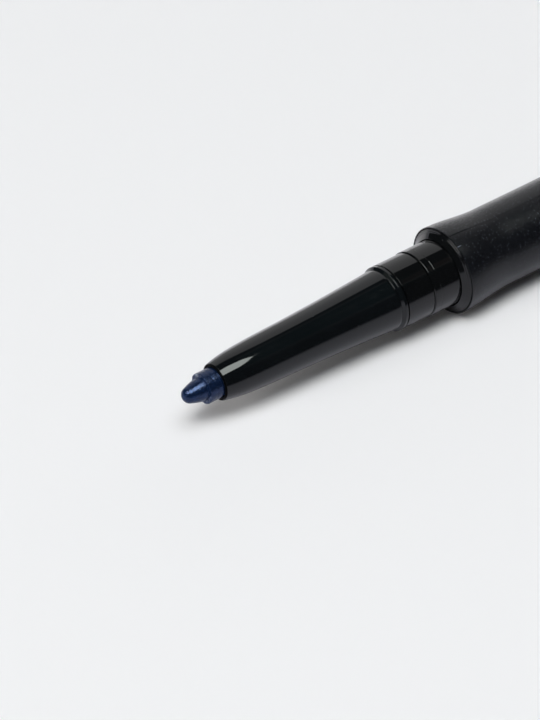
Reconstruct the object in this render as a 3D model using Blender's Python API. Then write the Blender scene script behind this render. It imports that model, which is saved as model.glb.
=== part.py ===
"""Retractable eyeliner pencil, open and lying on its side, as separate solid pieces.

Sizes are in metres and +Z is up. The pencil lies along X, with its tip towards -X and its
flat end towards +X, and it rests on z = 0. A station is a place along the pencil, measured
from the barrel's mouth rim and positive towards the flat end. A radius is measured from the
pencil's axis.

The barrel holds a fixed spiral sleeve. The nose, collar and slotted guide fork turn in the
barrel as one unit. A cross pin on the pusher rod runs in the fork's slots and in the two
helical grooves, so turning the nose drives the lead out or back.
"""

import math

import bmesh
import bpy

# Segments round a turned piece: the ones that show, and the ones inside the barrel
OUTER_SEGMENTS = 32
INNER_SEGMENTS = 24
PIN_SEGMENTS = 16

# Clearances: between pieces that run on each other, and between pieces that are fitted
RUN = 0.00010
SEAT = 0.00005

# Lead: a domed point, a cone, a flat shoulder and a round shank
LEAD_RADIUS = 0.00172
LEAD_LENGTH = 0.03015
LEAD_OUT = 0.00425
LEAD_DOME_RADIUS = 0.00092
LEAD_CONE_RADIUS = 0.00128
LEAD_POINT_LENGTH = 0.00245
LEAD_CONE_BULGE = 0.000065
LEAD_EDGE = 0.00009

# Travel: how far the lead goes back and comes out from where it is, and its feed per turn
FEED_BACK = 0.0050
FEED_OUT = 0.0195
FEED_PER_TURN = 0.0060

# Lead cup, with four claws that grip the lead
CUP_WALL = 0.00030
CUP_GRIP = 0.0041
CUP_SLIT_WIDTH = 0.0004
CUP_SLIT_LENGTH = 0.0034
CUP_FLOOR = 0.0017

# Pusher rod and its cross pin
ROD_RADIUS = 0.00150
ROD_SPIGOT_RADIUS = 0.00080
ROD_GUIDE_LENGTH = 0.0026
PIN_RADIUS = 0.00040

# Guide fork and its clip
FORK_WALL = 0.00048
FORK_SEAT_LENGTH = 0.0114
FORK_TAIL = 0.0006
CLIP_WIDTH = 0.0007
CLIP_DEPTH = 0.0002
CLIP_WALL = 0.0005
CLIP_OPENING = math.radians(50)

# Spiral sleeve, its two grooves, its lock ring and the washer in front of it
GROOVE_DEPTH = 0.00040
SPIRAL_WALL = 0.00045
SPIRAL_STARTS = 2
SPIRAL_END_WALL = 0.0011
LOCK_RING_LENGTH = 0.0014
WASHER_THICKNESS = 0.0005

# Barrel: core, soft-touch skin and the flare from the waist to the mouth
CORE_WALL = 0.00035
CORE_SHOULDER = 0.00020
SKIN_WALL = 0.00045
FLARE_HEIGHT = 0.00050
FLARE_LENGTH = 0.0068
WAIST_END = 0.0140
SWELL_START = 0.0450
TAPER_START = 0.0800
BARREL_LENGTH = 0.0980
END_RADIUS = 0.00465
RIM_LIP = 0.00015

# End plug
PLUG_HEAD = 0.0057
PLUG_SPIGOT = 0.0080
PLUG_WALL = 0.0008
PLUG_FLOOR = 0.0030
PLUG_DRAFT = 0.00015
PLUG_EDGE = 0.0004

# Mouth ring, which fills the mouth round the click sleeve and narrows towards its rear
MOUTH_GAP = 0.00010
MOUTH_DEPTH = 0.0019
MOUTH_DRAFT = 0.00025
MOUTH_SLOPE = 0.00068
MOUTH_BULGE = 0.00005
MOUTH_GROOVE = 0.00005
MOUTH_EDGE = 0.00008

# Click sleeve, on which the cap clicks
CLICK_WALL = 0.00055
CLICK_FRONT = -0.00417
CLICK_LINE = -0.00324
CLICK_LINE_WIDTH = 0.00014
CLICK_LINE_DEPTH = 0.00004
CLICK_TAIL = 0.0003

# Front bush: collar, spigot into the nose and shank into the barrel
COLLAR_FRONT = -0.00770
COLLAR_STEP = 0.00010
SPIGOT_LENGTH = 0.0042
SPIGOT_WALL = 0.00060
SHANK_WALL = 0.00050
SHANK_END = 0.0059

# Brake ring and its groove in the shank
BRAKE_SECTION = 0.00040
BRAKE_STATION = 0.0036
BRAKE_GROOVE_WIDTH = 0.0006
BRAKE_STEPS = 8

# Nose cone
LIP_STATION = -0.0308
LIP_WALL = 0.00025
LIP_EDGE = 0.00010
NOSE_LAND = 0.0021
NOSE_OGIVE = 0.00064
NOSE_OGIVE_LENGTH = 0.00242
NOSE_HOLLOW = 0.00020
NOSE_REAR_STEP = 0.00025
NOSE_POINTS = 14
BEAD_WIDTH = 0.00045
BEAD_EDGE = 0.00008
NOSE_GROOVE_WIDTH = 0.00030
NOSE_GROOVE_DEPTH = 0.00015

# Radii from the lead outwards
CUP_RADIUS = LEAD_RADIUS + SEAT + CUP_WALL
SLIDE_BORE = CUP_RADIUS + RUN
FORK_RADIUS = SLIDE_BORE + FORK_WALL
SPIRAL_BORE = FORK_RADIUS + RUN
GROOVE_RADIUS = SPIRAL_BORE + GROOVE_DEPTH
SPIRAL_RADIUS = GROOVE_RADIUS + SPIRAL_WALL
CORE_BORE = SPIRAL_RADIUS + SEAT
CORE_RADIUS = CORE_BORE + CORE_WALL
SKIN_BORE = CORE_RADIUS + SEAT
WAIST_RADIUS = SKIN_BORE + SKIN_WALL
BODY_RADIUS = WAIST_RADIUS + FLARE_HEIGHT
PIN_REACH = GROOVE_RADIUS - RUN
CORE_FRONT_BORE = CORE_BORE - CORE_SHOULDER
FORK_SEAT_BORE = FORK_RADIUS + SEAT
SHANK_RADIUS = FORK_SEAT_BORE + SHANK_WALL
SHANK_LAND = CORE_FRONT_BORE - RUN
CLICK_BORE = SHANK_RADIUS + SEAT
CLICK_RADIUS = CLICK_BORE + CLICK_WALL
COLLAR_RADIUS = CLICK_RADIUS - COLLAR_STEP
SPIGOT_RADIUS = SLIDE_BORE + SPIGOT_WALL
NOSE_SOCKET = SPIGOT_RADIUS + SEAT
NOSE_REAR_RADIUS = COLLAR_RADIUS - NOSE_REAR_STEP
LIP_BORE = LEAD_RADIUS + RUN
LIP_RADIUS = LIP_BORE + LIP_WALL
MOUTH_BORE = CLICK_RADIUS + MOUTH_GAP
MOUTH_SOCKET = BODY_RADIUS - RIM_LIP
MOUTH_RADIUS = MOUTH_SOCKET - SEAT
CLIP_SEAT_RADIUS = FORK_RADIUS - CLIP_DEPTH
CLIP_BORE = CLIP_SEAT_RADIUS + SEAT
CLIP_RADIUS = CLIP_BORE + CLIP_WALL
BRAKE_RADIUS = CORE_FRONT_BORE * math.cos(math.pi / OUTER_SEGMENTS) - BRAKE_SECTION / 2 - SEAT / 2
BRAKE_GROOVE_RADIUS = BRAKE_RADIUS - BRAKE_SECTION / 2 - SEAT

# Stations from the tip to the flat end
LEAD_TIP = LIP_STATION - LEAD_OUT
LEAD_REAR = LEAD_TIP + LEAD_LENGTH
LEAD_SHOULDER = LEAD_TIP + LEAD_POINT_LENGTH
NOSE_REAR = COLLAR_FRONT - SEAT
BEAD_FRONT = NOSE_REAR - BEAD_WIDTH
NOSE_GROOVE_FRONT = BEAD_FRONT - NOSE_GROOVE_WIDTH
SPIGOT_FRONT = COLLAR_FRONT - SPIGOT_LENGTH
SOCKET_FRONT = SPIGOT_FRONT - SEAT
CUP_FRONT = LEAD_REAR - CUP_GRIP
CUP_REAR = LEAD_REAR + SEAT + CUP_FLOOR
FORK_FRONT = SHANK_END - FORK_SEAT_LENGTH
CLICK_REAR = MOUTH_DEPTH - CLICK_TAIL
CORE_FRONT = MOUTH_DEPTH + SEAT
SPIRAL_FRONT = SHANK_END + WASHER_THICKNESS + 2 * SEAT
PIN_STATION = SPIRAL_FRONT + SPIRAL_END_WALL + PIN_RADIUS + FEED_OUT
SLOT_FRONT = PIN_STATION - FEED_OUT - PIN_RADIUS - 2 * RUN
ROD_REAR = PIN_STATION + ROD_GUIDE_LENGTH / 2
SPIRAL_REAR = PIN_STATION + FEED_BACK + PIN_RADIUS + SPIRAL_END_WALL
CLIP_FRONT = SPIRAL_REAR + RUN
FORK_REAR = CLIP_FRONT + CLIP_WIDTH + FORK_TAIL
LOCK_RING_FRONT = SPIRAL_REAR + SEAT
PLUG_FRONT = BARREL_LENGTH - PLUG_HEAD
SKIN_REAR = PLUG_FRONT - SEAT

# The pencil lies on the flat facet under its rim, centred along X
AXIS_HEIGHT = BODY_RADIUS * math.cos(math.pi / OUTER_SEGMENTS)
MOUTH_X = -(LEAD_TIP + BARREL_LENGTH) / 2

TURN = 2 * math.pi
WELD = 1e-7
SMOOTH_ANGLE = math.radians(32)

# Colour, roughness and metallic value of each finish
SOFT_BLACK = ((0.016, 0.017, 0.020, 1), 0.55, 0.0)
GLOSS_BLACK = ((0.004, 0.004, 0.005, 1), 0.07, 0.0)
NATURAL_WHITE = ((0.70, 0.69, 0.64, 1), 0.40, 0.0)
RUBBER_BLACK = ((0.012, 0.012, 0.012, 1), 0.65, 0.0)
STEEL = ((0.58, 0.58, 0.60, 1), 0.28, 1.0)
NAVY_LEAD = ((0.012, 0.022, 0.110, 1), 0.34, 0.55)


def empty(name, parent=None):
    """Return an empty that carries pieces, on its parent's axis."""
    carrier = bpy.data.objects.new(name, None)
    carrier.empty_display_size = BODY_RADIUS
    carrier.parent = parent
    bpy.context.collection.objects.link(carrier)
    return carrier


def solid(name, mesh_builder, carrier, finish=None):
    """Return an object with a closed mesh, carried by an empty and given its own material."""
    mesh = bpy.data.meshes.new(name)
    bmesh.ops.remove_doubles(mesh_builder, verts=mesh_builder.verts, dist=WELD)
    bmesh.ops.recalc_face_normals(mesh_builder, faces=mesh_builder.faces)
    mesh_builder.to_mesh(mesh)
    mesh_builder.free()
    mesh.shade_smooth()
    mesh.set_sharp_from_angle(angle=SMOOTH_ANGLE)
    piece = bpy.data.objects.new(name, mesh)
    piece.parent = carrier
    bpy.context.collection.objects.link(piece)
    if finish:
        mesh.materials.append(material(name, finish))
    return piece


def material(name, finish):
    """Return a Principled material with a finish's colour, roughness and metallic value."""
    colour, roughness, metallic = finish
    made = bpy.data.materials.new(name)
    made.use_nodes = True
    shader = made.node_tree.nodes["Principled BSDF"]
    shader.inputs["Base Color"].default_value = colour
    shader.inputs["Roughness"].default_value = roughness
    shader.inputs["Metallic"].default_value = metallic
    made.diffuse_color = colour
    return made


def cut(piece, cutter):
    """Cut a hidden cutter out of a piece."""
    cutter.hide_render = True
    cutter.display_type = "WIRE"
    boolean = piece.modifiers.new(cutter.name, "BOOLEAN")
    boolean.operation = "DIFFERENCE"
    boolean.solver = "EXACT"
    boolean.object = cutter


def turned(name, outline, carrier, finish, segments=OUTER_SEGMENTS, sweep=TURN):
    """Return a piece turned about the pencil's axis.

    The outline is a list of (station, radius) points. It is closed by itself, and one that
    starts and ends on the axis makes a piece with no bore. A sweep under a full turn makes
    an open ring. The first vertex lies half a segment from +Y, so a flat faces the floor.
    """
    builder = bmesh.new()
    phase = math.pi / segments
    side = (math.cos(phase), math.sin(phase))
    points = [builder.verts.new((x, r * side[0], r * side[1])) for x, r in outline]
    edges = [builder.edges.new(pair) for pair in zip(points, points[1:])]
    if outline[0][1] > 0:
        edges.append(builder.edges.new((points[-1], points[0])))
    whole = sweep == TURN
    if not whole:
        builder.faces.new(points)
    bmesh.ops.spin(builder, geom=points + edges, cent=(0, 0, 0), axis=(1, 0, 0), angle=sweep,
                   steps=round(segments * sweep / TURN), use_merge=whole)
    if not whole:
        bmesh.ops.holes_fill(builder, edges=[e for e in builder.edges if e.is_boundary])
    return solid(name, builder, carrier, finish)


def block(name, low, high, carrier):
    """Return a box cutter between two corners."""
    builder = bmesh.new()
    bmesh.ops.create_cube(builder, size=1)
    for vert in builder.verts:
        for axis in range(3):
            vert.co[axis] = high[axis] if vert.co[axis] > 0 else low[axis]
    return solid(name, builder, carrier)


def cross_pin(name, radius, reach, station, carrier, finish=None):
    """Return a round pin across the pencil, along Y, through its axis."""
    builder = bmesh.new()
    bmesh.ops.create_cone(builder, cap_ends=True, segments=PIN_SEGMENTS, radius1=radius,
                          radius2=radius, depth=2 * reach)
    for vert in builder.verts:
        x, y, z = vert.co
        vert.co = (station + x, z, y)
    return solid(name, builder, carrier, finish)


def arc(station, radius, size, start, end, steps):
    """Return points along an arc about (station, radius), with angles from +X towards out."""
    angles = [start + (end - start) * step / steps for step in range(steps + 1)]
    return [(station + size * math.cos(a), radius + size * math.sin(a)) for a in angles]


def ease(share):
    """Return a smooth rise from 0 to 1."""
    return (1 - math.cos(math.pi * share)) / 2


def spread(start, end, count):
    """Return evenly spaced stations from start to end."""
    return [start + (end - start) * step / count for step in range(count + 1)]


# Lead unit: what slides along the pencil

def lead_outline():
    """Return the lead from its domed point to its flat rear end."""
    dome = LEAD_TIP + LEAD_DOME_RADIUS
    slope = math.atan2(LEAD_CONE_RADIUS - LEAD_DOME_RADIUS, LEAD_SHOULDER - dome)
    point = arc(dome, 0, LEAD_DOME_RADIUS, math.pi, math.pi / 2 + slope, 5)
    start_x, start_r = point[-1]
    flank = []
    for share in spread(0, 1, 4)[1:]:
        radius = start_r + (LEAD_CONE_RADIUS - start_r) * share
        bulge = LEAD_CONE_BULGE * math.sin(math.pi * share)
        flank.append((start_x + (LEAD_SHOULDER - start_x) * share, radius + bulge))
    shank = [(LEAD_SHOULDER, LEAD_RADIUS - LEAD_EDGE), (LEAD_SHOULDER + LEAD_EDGE, LEAD_RADIUS),
             (LEAD_REAR, LEAD_RADIUS), (LEAD_REAR, 0)]
    return [(LEAD_TIP, 0)] + point[1:] + flank + shank


def make_lead_cup(carrier):
    """Make the cup: a split socket for the lead and a bore for the rod's spigot."""
    floor = LEAD_REAR + SEAT
    bore = LEAD_RADIUS + SEAT
    rod_bore = ROD_SPIGOT_RADIUS + SEAT
    outline = [(CUP_FRONT, bore), (CUP_FRONT, CUP_RADIUS), (CUP_REAR, CUP_RADIUS),
               (CUP_REAR, rod_bore), (floor, rod_bore), (floor, bore)]
    cup = turned("lead_cup", outline, carrier, NATURAL_WHITE, INNER_SEGMENTS)
    wide = 2 * CUP_RADIUS
    half = CUP_SLIT_WIDTH / 2
    slit_front = CUP_FRONT - CUP_SLIT_WIDTH
    slit_rear = CUP_FRONT + CUP_SLIT_LENGTH
    cut(cup, block("cup_slit_flat", (slit_front, -wide, -half), (slit_rear, wide, half), carrier))
    cut(cup, block("cup_slit_upright", (slit_front, -half, -wide), (slit_rear, half, wide), carrier))


def make_pusher_rod(carrier):
    """Make the rod: a spigot in the cup, a long shank and a guide collar for the pin."""
    shoulder = CUP_REAR + SEAT
    spigot_front = LEAD_REAR + 2 * SEAT
    guide_front = PIN_STATION - ROD_GUIDE_LENGTH / 2
    outline = [(spigot_front, 0), (spigot_front, ROD_SPIGOT_RADIUS), (shoulder, ROD_SPIGOT_RADIUS),
               (shoulder, ROD_RADIUS), (guide_front - CUP_WALL, ROD_RADIUS),
               (guide_front, CUP_RADIUS), (ROD_REAR, CUP_RADIUS), (ROD_REAR, 0)]
    rod = turned("pusher_rod", outline, carrier, NATURAL_WHITE, INNER_SEGMENTS)
    cut(rod, cross_pin("pin_hole", PIN_RADIUS + SEAT, 2 * CUP_RADIUS, PIN_STATION, carrier))


def make_lead_unit(carrier):
    """Make the lead and what pushes it."""
    turned("lead", lead_outline(), carrier, NAVY_LEAD)
    make_lead_cup(carrier)
    make_pusher_rod(carrier)
    cross_pin("follower_pin", PIN_RADIUS, PIN_REACH, PIN_STATION, carrier, STEEL)


# Front unit: what turns in the barrel

def nose_radius(station):
    """Return the nose's outer radius: an ogive at the lip that runs into a hollowed cone."""
    length = NOSE_GROOVE_FRONT - LIP_STATION
    along = station - LIP_STATION
    front = LIP_RADIUS + NOSE_OGIVE
    cone = front + (NOSE_REAR_RADIUS - front) * along / length
    hollow = NOSE_HOLLOW * math.sin(math.pi * along / length)
    return cone - NOSE_OGIVE * math.exp(-along / NOSE_OGIVE_LENGTH) - hollow


def make_nose_cone(carrier):
    """Make the nose, from its rounded lip to the bead at its rear, with its stepped bore."""
    shoulder = LIP_STATION + LIP_EDGE
    length = NOSE_GROOVE_FRONT - shoulder
    flank = [shoulder + length * (step / NOSE_POINTS) ** 2 for step in range(1, NOSE_POINTS + 1)]
    lip = arc(shoulder, nose_radius(shoulder) - LIP_EDGE, LIP_EDGE, math.pi, math.pi / 2, 3)
    groove_radius = NOSE_REAR_RADIUS - NOSE_GROOVE_DEPTH
    groove = [(NOSE_GROOVE_FRONT, groove_radius), (BEAD_FRONT, groove_radius)]
    bead = [(BEAD_FRONT, COLLAR_RADIUS - BEAD_EDGE), (BEAD_FRONT + BEAD_EDGE, COLLAR_RADIUS),
            (NOSE_REAR, COLLAR_RADIUS)]
    bore = [(NOSE_REAR, NOSE_SOCKET), (SOCKET_FRONT, NOSE_SOCKET), (SOCKET_FRONT, SLIDE_BORE),
            (LIP_STATION + NOSE_LAND, SLIDE_BORE), (LIP_STATION + NOSE_LAND, LIP_BORE),
            (LIP_STATION + LIP_EDGE / 2, LIP_BORE), (LIP_STATION, LIP_BORE + LIP_EDGE / 2)]
    outline = lip + [(x, nose_radius(x)) for x in flank] + groove + bead + bore
    turned("nose_cone", outline, carrier, GLOSS_BLACK)


def make_front_bush(carrier):
    """Make the bush: nose spigot, collar, click sleeve's seat, brake groove and fork seat."""
    brake_front = BRAKE_STATION - BRAKE_GROOVE_WIDTH / 2
    brake_rear = BRAKE_STATION + BRAKE_GROOVE_WIDTH / 2
    collar_rear = CLICK_FRONT - SEAT
    fork_floor = FORK_FRONT - SEAT
    outside = [(SPIGOT_FRONT, SPIGOT_RADIUS), (COLLAR_FRONT, SPIGOT_RADIUS),
               (COLLAR_FRONT, COLLAR_RADIUS), (collar_rear, COLLAR_RADIUS),
               (collar_rear, SHANK_RADIUS), (CORE_FRONT + RUN, SHANK_RADIUS),
               (CORE_FRONT + RUN, SHANK_LAND), (brake_front, SHANK_LAND),
               (brake_front, BRAKE_GROOVE_RADIUS), (brake_rear, BRAKE_GROOVE_RADIUS),
               (brake_rear, SHANK_LAND), (SHANK_END, SHANK_LAND)]
    bore = [(SHANK_END, FORK_SEAT_BORE), (fork_floor, FORK_SEAT_BORE),
            (fork_floor, SLIDE_BORE), (SPIGOT_FRONT, SLIDE_BORE)]
    turned("front_bush", outside + bore, carrier, GLOSS_BLACK)


def make_click_sleeve(carrier):
    """Make the sleeve behind the collar, with the fine turned line that the cap clicks on."""
    line_front = CLICK_LINE - CLICK_LINE_WIDTH / 2
    line_rear = CLICK_LINE + CLICK_LINE_WIDTH / 2
    line_radius = CLICK_RADIUS - CLICK_LINE_DEPTH
    edge = COLLAR_STEP / 2
    outline = [(CLICK_FRONT, CLICK_RADIUS - edge), (CLICK_FRONT + edge, CLICK_RADIUS),
               (line_front, CLICK_RADIUS), (CLICK_LINE, line_radius), (line_rear, CLICK_RADIUS),
               (CLICK_REAR, CLICK_RADIUS), (CLICK_REAR, CLICK_BORE), (CLICK_FRONT, CLICK_BORE)]
    turned("click_sleeve", outline, carrier, GLOSS_BLACK)


def make_guide_fork(carrier):
    """Make the slotted tube that the pusher slides in, with the clip's groove at its rear."""
    clip_rear = CLIP_FRONT + CLIP_WIDTH
    outline = [(FORK_FRONT, SLIDE_BORE), (FORK_FRONT, FORK_RADIUS), (CLIP_FRONT - SEAT, FORK_RADIUS),
               (CLIP_FRONT - SEAT, CLIP_SEAT_RADIUS), (clip_rear + SEAT, CLIP_SEAT_RADIUS),
               (clip_rear + SEAT, FORK_RADIUS), (FORK_REAR, FORK_RADIUS), (FORK_REAR, SLIDE_BORE)]
    fork = turned("guide_fork", outline, carrier, NATURAL_WHITE, INNER_SEGMENTS)
    half = PIN_RADIUS + RUN
    wide = 2 * FORK_RADIUS
    slot = block("fork_slot", (SLOT_FRONT, -wide, -half), (FORK_REAR + wide, wide, half), carrier)
    cut(fork, slot)


def make_fork_clip(carrier):
    """Make the open clip that snaps into the fork's groove behind the spiral sleeve."""
    rear = CLIP_FRONT + CLIP_WIDTH
    outline = [(CLIP_FRONT, CLIP_BORE), (CLIP_FRONT, CLIP_RADIUS), (rear, CLIP_RADIUS),
               (rear, CLIP_BORE)]
    turned("fork_clip", outline, carrier, STEEL, INNER_SEGMENTS, TURN - CLIP_OPENING)


def make_front_unit(carrier):
    """Make the nose and everything that turns with it."""
    make_nose_cone(carrier)
    make_front_bush(carrier)
    make_click_sleeve(carrier)
    make_guide_fork(carrier)
    make_fork_clip(carrier)
    ring = arc(BRAKE_STATION, BRAKE_RADIUS, BRAKE_SECTION / 2, 0, TURN, BRAKE_STEPS)[:-1]
    turned("brake_o_ring", ring, carrier, RUBBER_BLACK)
    washer_front = SHANK_END + SEAT
    washer_rear = washer_front + WASHER_THICKNESS
    washer = [(washer_front, FORK_SEAT_BORE), (washer_front, SHANK_LAND),
              (washer_rear, SHANK_LAND), (washer_rear, FORK_SEAT_BORE)]
    turned("thrust_washer", washer, carrier, NATURAL_WHITE, INNER_SEGMENTS)


# Barrel: what the hand holds

def barrel_radius(station):
    """Return the barrel's outer radius: flared mouth, waist, swell and rear taper."""
    if station < FLARE_LENGTH:
        return BODY_RADIUS - FLARE_HEIGHT * ease(station / FLARE_LENGTH)
    if station < WAIST_END:
        return WAIST_RADIUS
    if station < SWELL_START:
        share = (station - WAIST_END) / (SWELL_START - WAIST_END)
        return WAIST_RADIUS + FLARE_HEIGHT * ease(share)
    if station < TAPER_START:
        return BODY_RADIUS
    share = (station - TAPER_START) / (PLUG_FRONT - TAPER_START)
    return BODY_RADIUS + (END_RADIUS - BODY_RADIUS) * share * share


def make_soft_touch_sleeve(carrier):
    """Make the matte skin, with its rounded rim and the socket for the mouth ring."""
    round_radius = RIM_LIP / 2
    rim = arc(round_radius, MOUTH_SOCKET + round_radius, round_radius, 1.5 * math.pi, math.pi / 2, 6)
    flare = spread(round_radius, FLARE_LENGTH, 7)[1:]
    swell = spread(WAIST_END, SWELL_START, 8)
    taper = spread(TAPER_START, SKIN_REAR, 4)
    outside = [(x, barrel_radius(x)) for x in flare + swell + taper]
    bore = [(SKIN_REAR, SKIN_BORE), (CORE_FRONT, SKIN_BORE), (CORE_FRONT, MOUTH_SOCKET - MOUTH_DRAFT)]
    turned("soft_touch_sleeve", rim + outside + bore, carrier, SOFT_BLACK)


def make_barrel_core(carrier):
    """Make the hard tube under the skin, with the shoulder that seats the spiral sleeve."""
    shoulder = SPIRAL_FRONT - SEAT
    outline = [(CORE_FRONT + SEAT, CORE_FRONT_BORE), (CORE_FRONT + SEAT, CORE_RADIUS),
               (SKIN_REAR, CORE_RADIUS), (SKIN_REAR, CORE_BORE), (shoulder, CORE_BORE),
               (shoulder, CORE_FRONT_BORE)]
    turned("barrel_core", outline, carrier, GLOSS_BLACK)


def make_mouth_ring(carrier):
    """Make the ring in the mouth, whose sloped face stands out towards the click sleeve."""
    width = MOUTH_RADIUS - MOUTH_BORE
    face = []
    for share in spread(0, 1, 5):
        rise = MOUTH_SLOPE * (1 - share) + MOUTH_BULGE * math.sin(math.pi * share)
        face.append((MOUTH_GROOVE - rise, MOUTH_BORE + MOUTH_EDGE + (width - MOUTH_EDGE) * share))
    outline = [(MOUTH_GROOVE - MOUTH_SLOPE + MOUTH_EDGE, MOUTH_BORE)] + face
    outline += [(MOUTH_DEPTH, MOUTH_RADIUS - MOUTH_DRAFT), (MOUTH_DEPTH, MOUTH_BORE)]
    turned("mouth_ring", outline, carrier, GLOSS_BLACK)


def groove_cutter(start, carrier):
    """Return one helical cutter for the pin's groove: a bar that winds through the bore.

    The pin lies along Y, so the first start passes through +Y at the pin's station. The
    groove runs on past both ends of the travel by the pin's radius and its clearance.
    """
    step_turn = 1 / INNER_SEGMENTS
    end_turn = (PIN_RADIUS + RUN) / (TURN * SPIRAL_BORE)
    first = -FEED_BACK / FEED_PER_TURN - end_turn
    last = FEED_OUT / FEED_PER_TURN + end_turn
    slope = math.atan2(FEED_PER_TURN, TURN * SPIRAL_BORE)
    half_width = (PIN_RADIUS + RUN) / math.cos(slope)
    inner = FORK_RADIUS - RUN
    builder = bmesh.new()
    ring = None
    steps = math.ceil((last - first) / step_turn)
    for turns in spread(first, last, steps):
        angle = TURN * (turns + start / SPIRAL_STARTS)
        station = PIN_STATION - FEED_PER_TURN * turns
        corners = [(station - half_width, inner), (station + half_width, inner),
                   (station + half_width, GROOVE_RADIUS), (station - half_width, GROOVE_RADIUS)]
        made = [builder.verts.new((x, r * math.cos(angle), r * math.sin(angle))) for x, r in corners]
        if ring is None:
            builder.faces.new(made)
        else:
            for side in range(4):
                after = (side + 1) % 4
                builder.faces.new((ring[side], ring[after], made[after], made[side]))
        ring = made
    builder.faces.new(ring)
    return solid(f"groove_{start + 1}", builder, carrier)


def make_spiral_sleeve(carrier):
    """Make the sleeve that is fixed in the core and drives the pin."""
    outline = [(SPIRAL_FRONT, SPIRAL_BORE), (SPIRAL_FRONT, SPIRAL_RADIUS),
               (SPIRAL_REAR, SPIRAL_RADIUS), (SPIRAL_REAR, SPIRAL_BORE)]
    sleeve = turned("spiral_sleeve", outline, carrier, NATURAL_WHITE, INNER_SEGMENTS)
    for start in range(SPIRAL_STARTS):
        cut(sleeve, groove_cutter(start, carrier))


def make_end_plug(carrier):
    """Make the plug: a hollow spigot in the core and a head with a flat end."""
    neck = PLUG_FRONT - PLUG_SPIGOT
    spigot = CORE_BORE - SEAT
    bore = spigot - PLUG_WALL
    head = END_RADIUS - PLUG_DRAFT
    edge = arc(BARREL_LENGTH - PLUG_EDGE, head - PLUG_EDGE, PLUG_EDGE, math.pi / 2, 0, 3)
    floor = BARREL_LENGTH - PLUG_FLOOR
    outline = [(floor, 0), (floor, bore), (neck, bore), (neck, spigot - RUN), (neck + RUN, spigot),
               (PLUG_FRONT, spigot), (PLUG_FRONT, END_RADIUS)] + edge + [(BARREL_LENGTH, 0)]
    turned("end_plug", outline, carrier, GLOSS_BLACK)


def make_barrel(carrier):
    """Make the barrel and what is fixed in it."""
    make_soft_touch_sleeve(carrier)
    make_barrel_core(carrier)
    make_mouth_ring(carrier)
    make_spiral_sleeve(carrier)
    bore = CLIP_RADIUS + RUN
    rear = LOCK_RING_FRONT + LOCK_RING_LENGTH
    ring = [(LOCK_RING_FRONT, bore), (LOCK_RING_FRONT, SPIRAL_RADIUS), (rear, SPIRAL_RADIUS),
            (rear, bore)]
    turned("spiral_lock_ring", ring, carrier, NATURAL_WHITE, INNER_SEGMENTS)
    make_end_plug(carrier)


def main():
    """Clear the scene and make the pencil on three nested carriers."""
    for old in list(bpy.data.objects):
        bpy.data.objects.remove(old, do_unlink=True)
    pencil = empty("pencil")
    pencil.location = (MOUTH_X, 0, AXIS_HEIGHT)
    twist = empty("twist_axis", pencil)
    feed = empty("feed_axis", twist)
    make_barrel(pencil)
    make_front_unit(twist)
    make_lead_unit(feed)


main()
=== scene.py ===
"""Looks of a retractable eyeliner pencil, open and lying on its side on a pale floor.

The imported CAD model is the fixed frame. Every one of its pieces is replaced by a finer mesh
of the same shape in the same place, with its own finish. Sizes of the pieces are in
millimetres: a station is a place along the pencil, measured from the barrel's mouth rim and
positive towards the flat end, and a radius is measured from the pencil's axis. Angles round
the axis run from +Y towards +Z. What stands round the pencil is in metres.
"""

import logging
import math
from dataclasses import dataclass
from enum import Enum
from typing import Any, ClassVar, Iterable, Optional

import bpy
import numpy as np
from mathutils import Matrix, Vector


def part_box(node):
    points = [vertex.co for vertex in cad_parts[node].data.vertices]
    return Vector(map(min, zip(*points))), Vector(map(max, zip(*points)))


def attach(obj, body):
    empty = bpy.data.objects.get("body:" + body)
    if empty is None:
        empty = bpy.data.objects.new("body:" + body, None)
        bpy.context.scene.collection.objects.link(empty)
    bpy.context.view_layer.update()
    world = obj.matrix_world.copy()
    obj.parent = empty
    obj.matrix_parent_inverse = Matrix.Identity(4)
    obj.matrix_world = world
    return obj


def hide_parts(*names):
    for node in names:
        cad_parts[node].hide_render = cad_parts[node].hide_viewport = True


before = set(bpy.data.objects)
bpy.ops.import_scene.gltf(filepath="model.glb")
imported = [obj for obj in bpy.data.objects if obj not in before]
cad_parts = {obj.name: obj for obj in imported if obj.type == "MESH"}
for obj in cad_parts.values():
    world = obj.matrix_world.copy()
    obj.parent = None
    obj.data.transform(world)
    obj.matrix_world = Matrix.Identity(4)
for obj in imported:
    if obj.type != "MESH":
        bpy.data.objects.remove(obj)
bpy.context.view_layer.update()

MM = 0.001
PER_METRE = 1 / MM
TURN = 2 * math.pi
ACROSS = (math.pi / 2, 0, 0)
SMOOTH_ANGLE = math.radians(35)
OUTER_SEGMENTS = 160
INNER_SEGMENTS = 96
ROUND_STEPS = 5
ROUND_SHARE = 0.40
GUARD = 0.2
ON_AXIS = 1e-6
PIN_SIDES = 48
SLOT_END_SIDES = 32
GROOVE_STEPS = 280
COUNTS = ("Slots", "Starts")
RIDGE_LENGTHS = ("Height", "Width", "Centre", "Reach")
RIDGE_NUMBERS = ("Angle", "Power")

Colour = tuple[float, float, float]
Profile = list[tuple[float, ...]]

log = logging.getLogger("pencil")


class Body(Enum):
    """The bodies that move on their own."""

    BARREL = "barrel"
    FRONT = "front_unit"
    LEAD = "lead_unit"


class Slot(Enum):
    """The record's material slots."""

    SOFT = "soft_touch_black"
    GLOSS = "gloss_black"
    NATURAL = "natural_plastic"
    STEEL = "steel"
    RUBBER = "rubber"
    LEAD = "navy_lead"


class Effect(Enum):
    """The surface effects that materials share."""

    MOTTLE = "mottle"
    SPECKLE = "speckle"
    TURNING = "turning"
    HAIRLINES = "hairlines"


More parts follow.
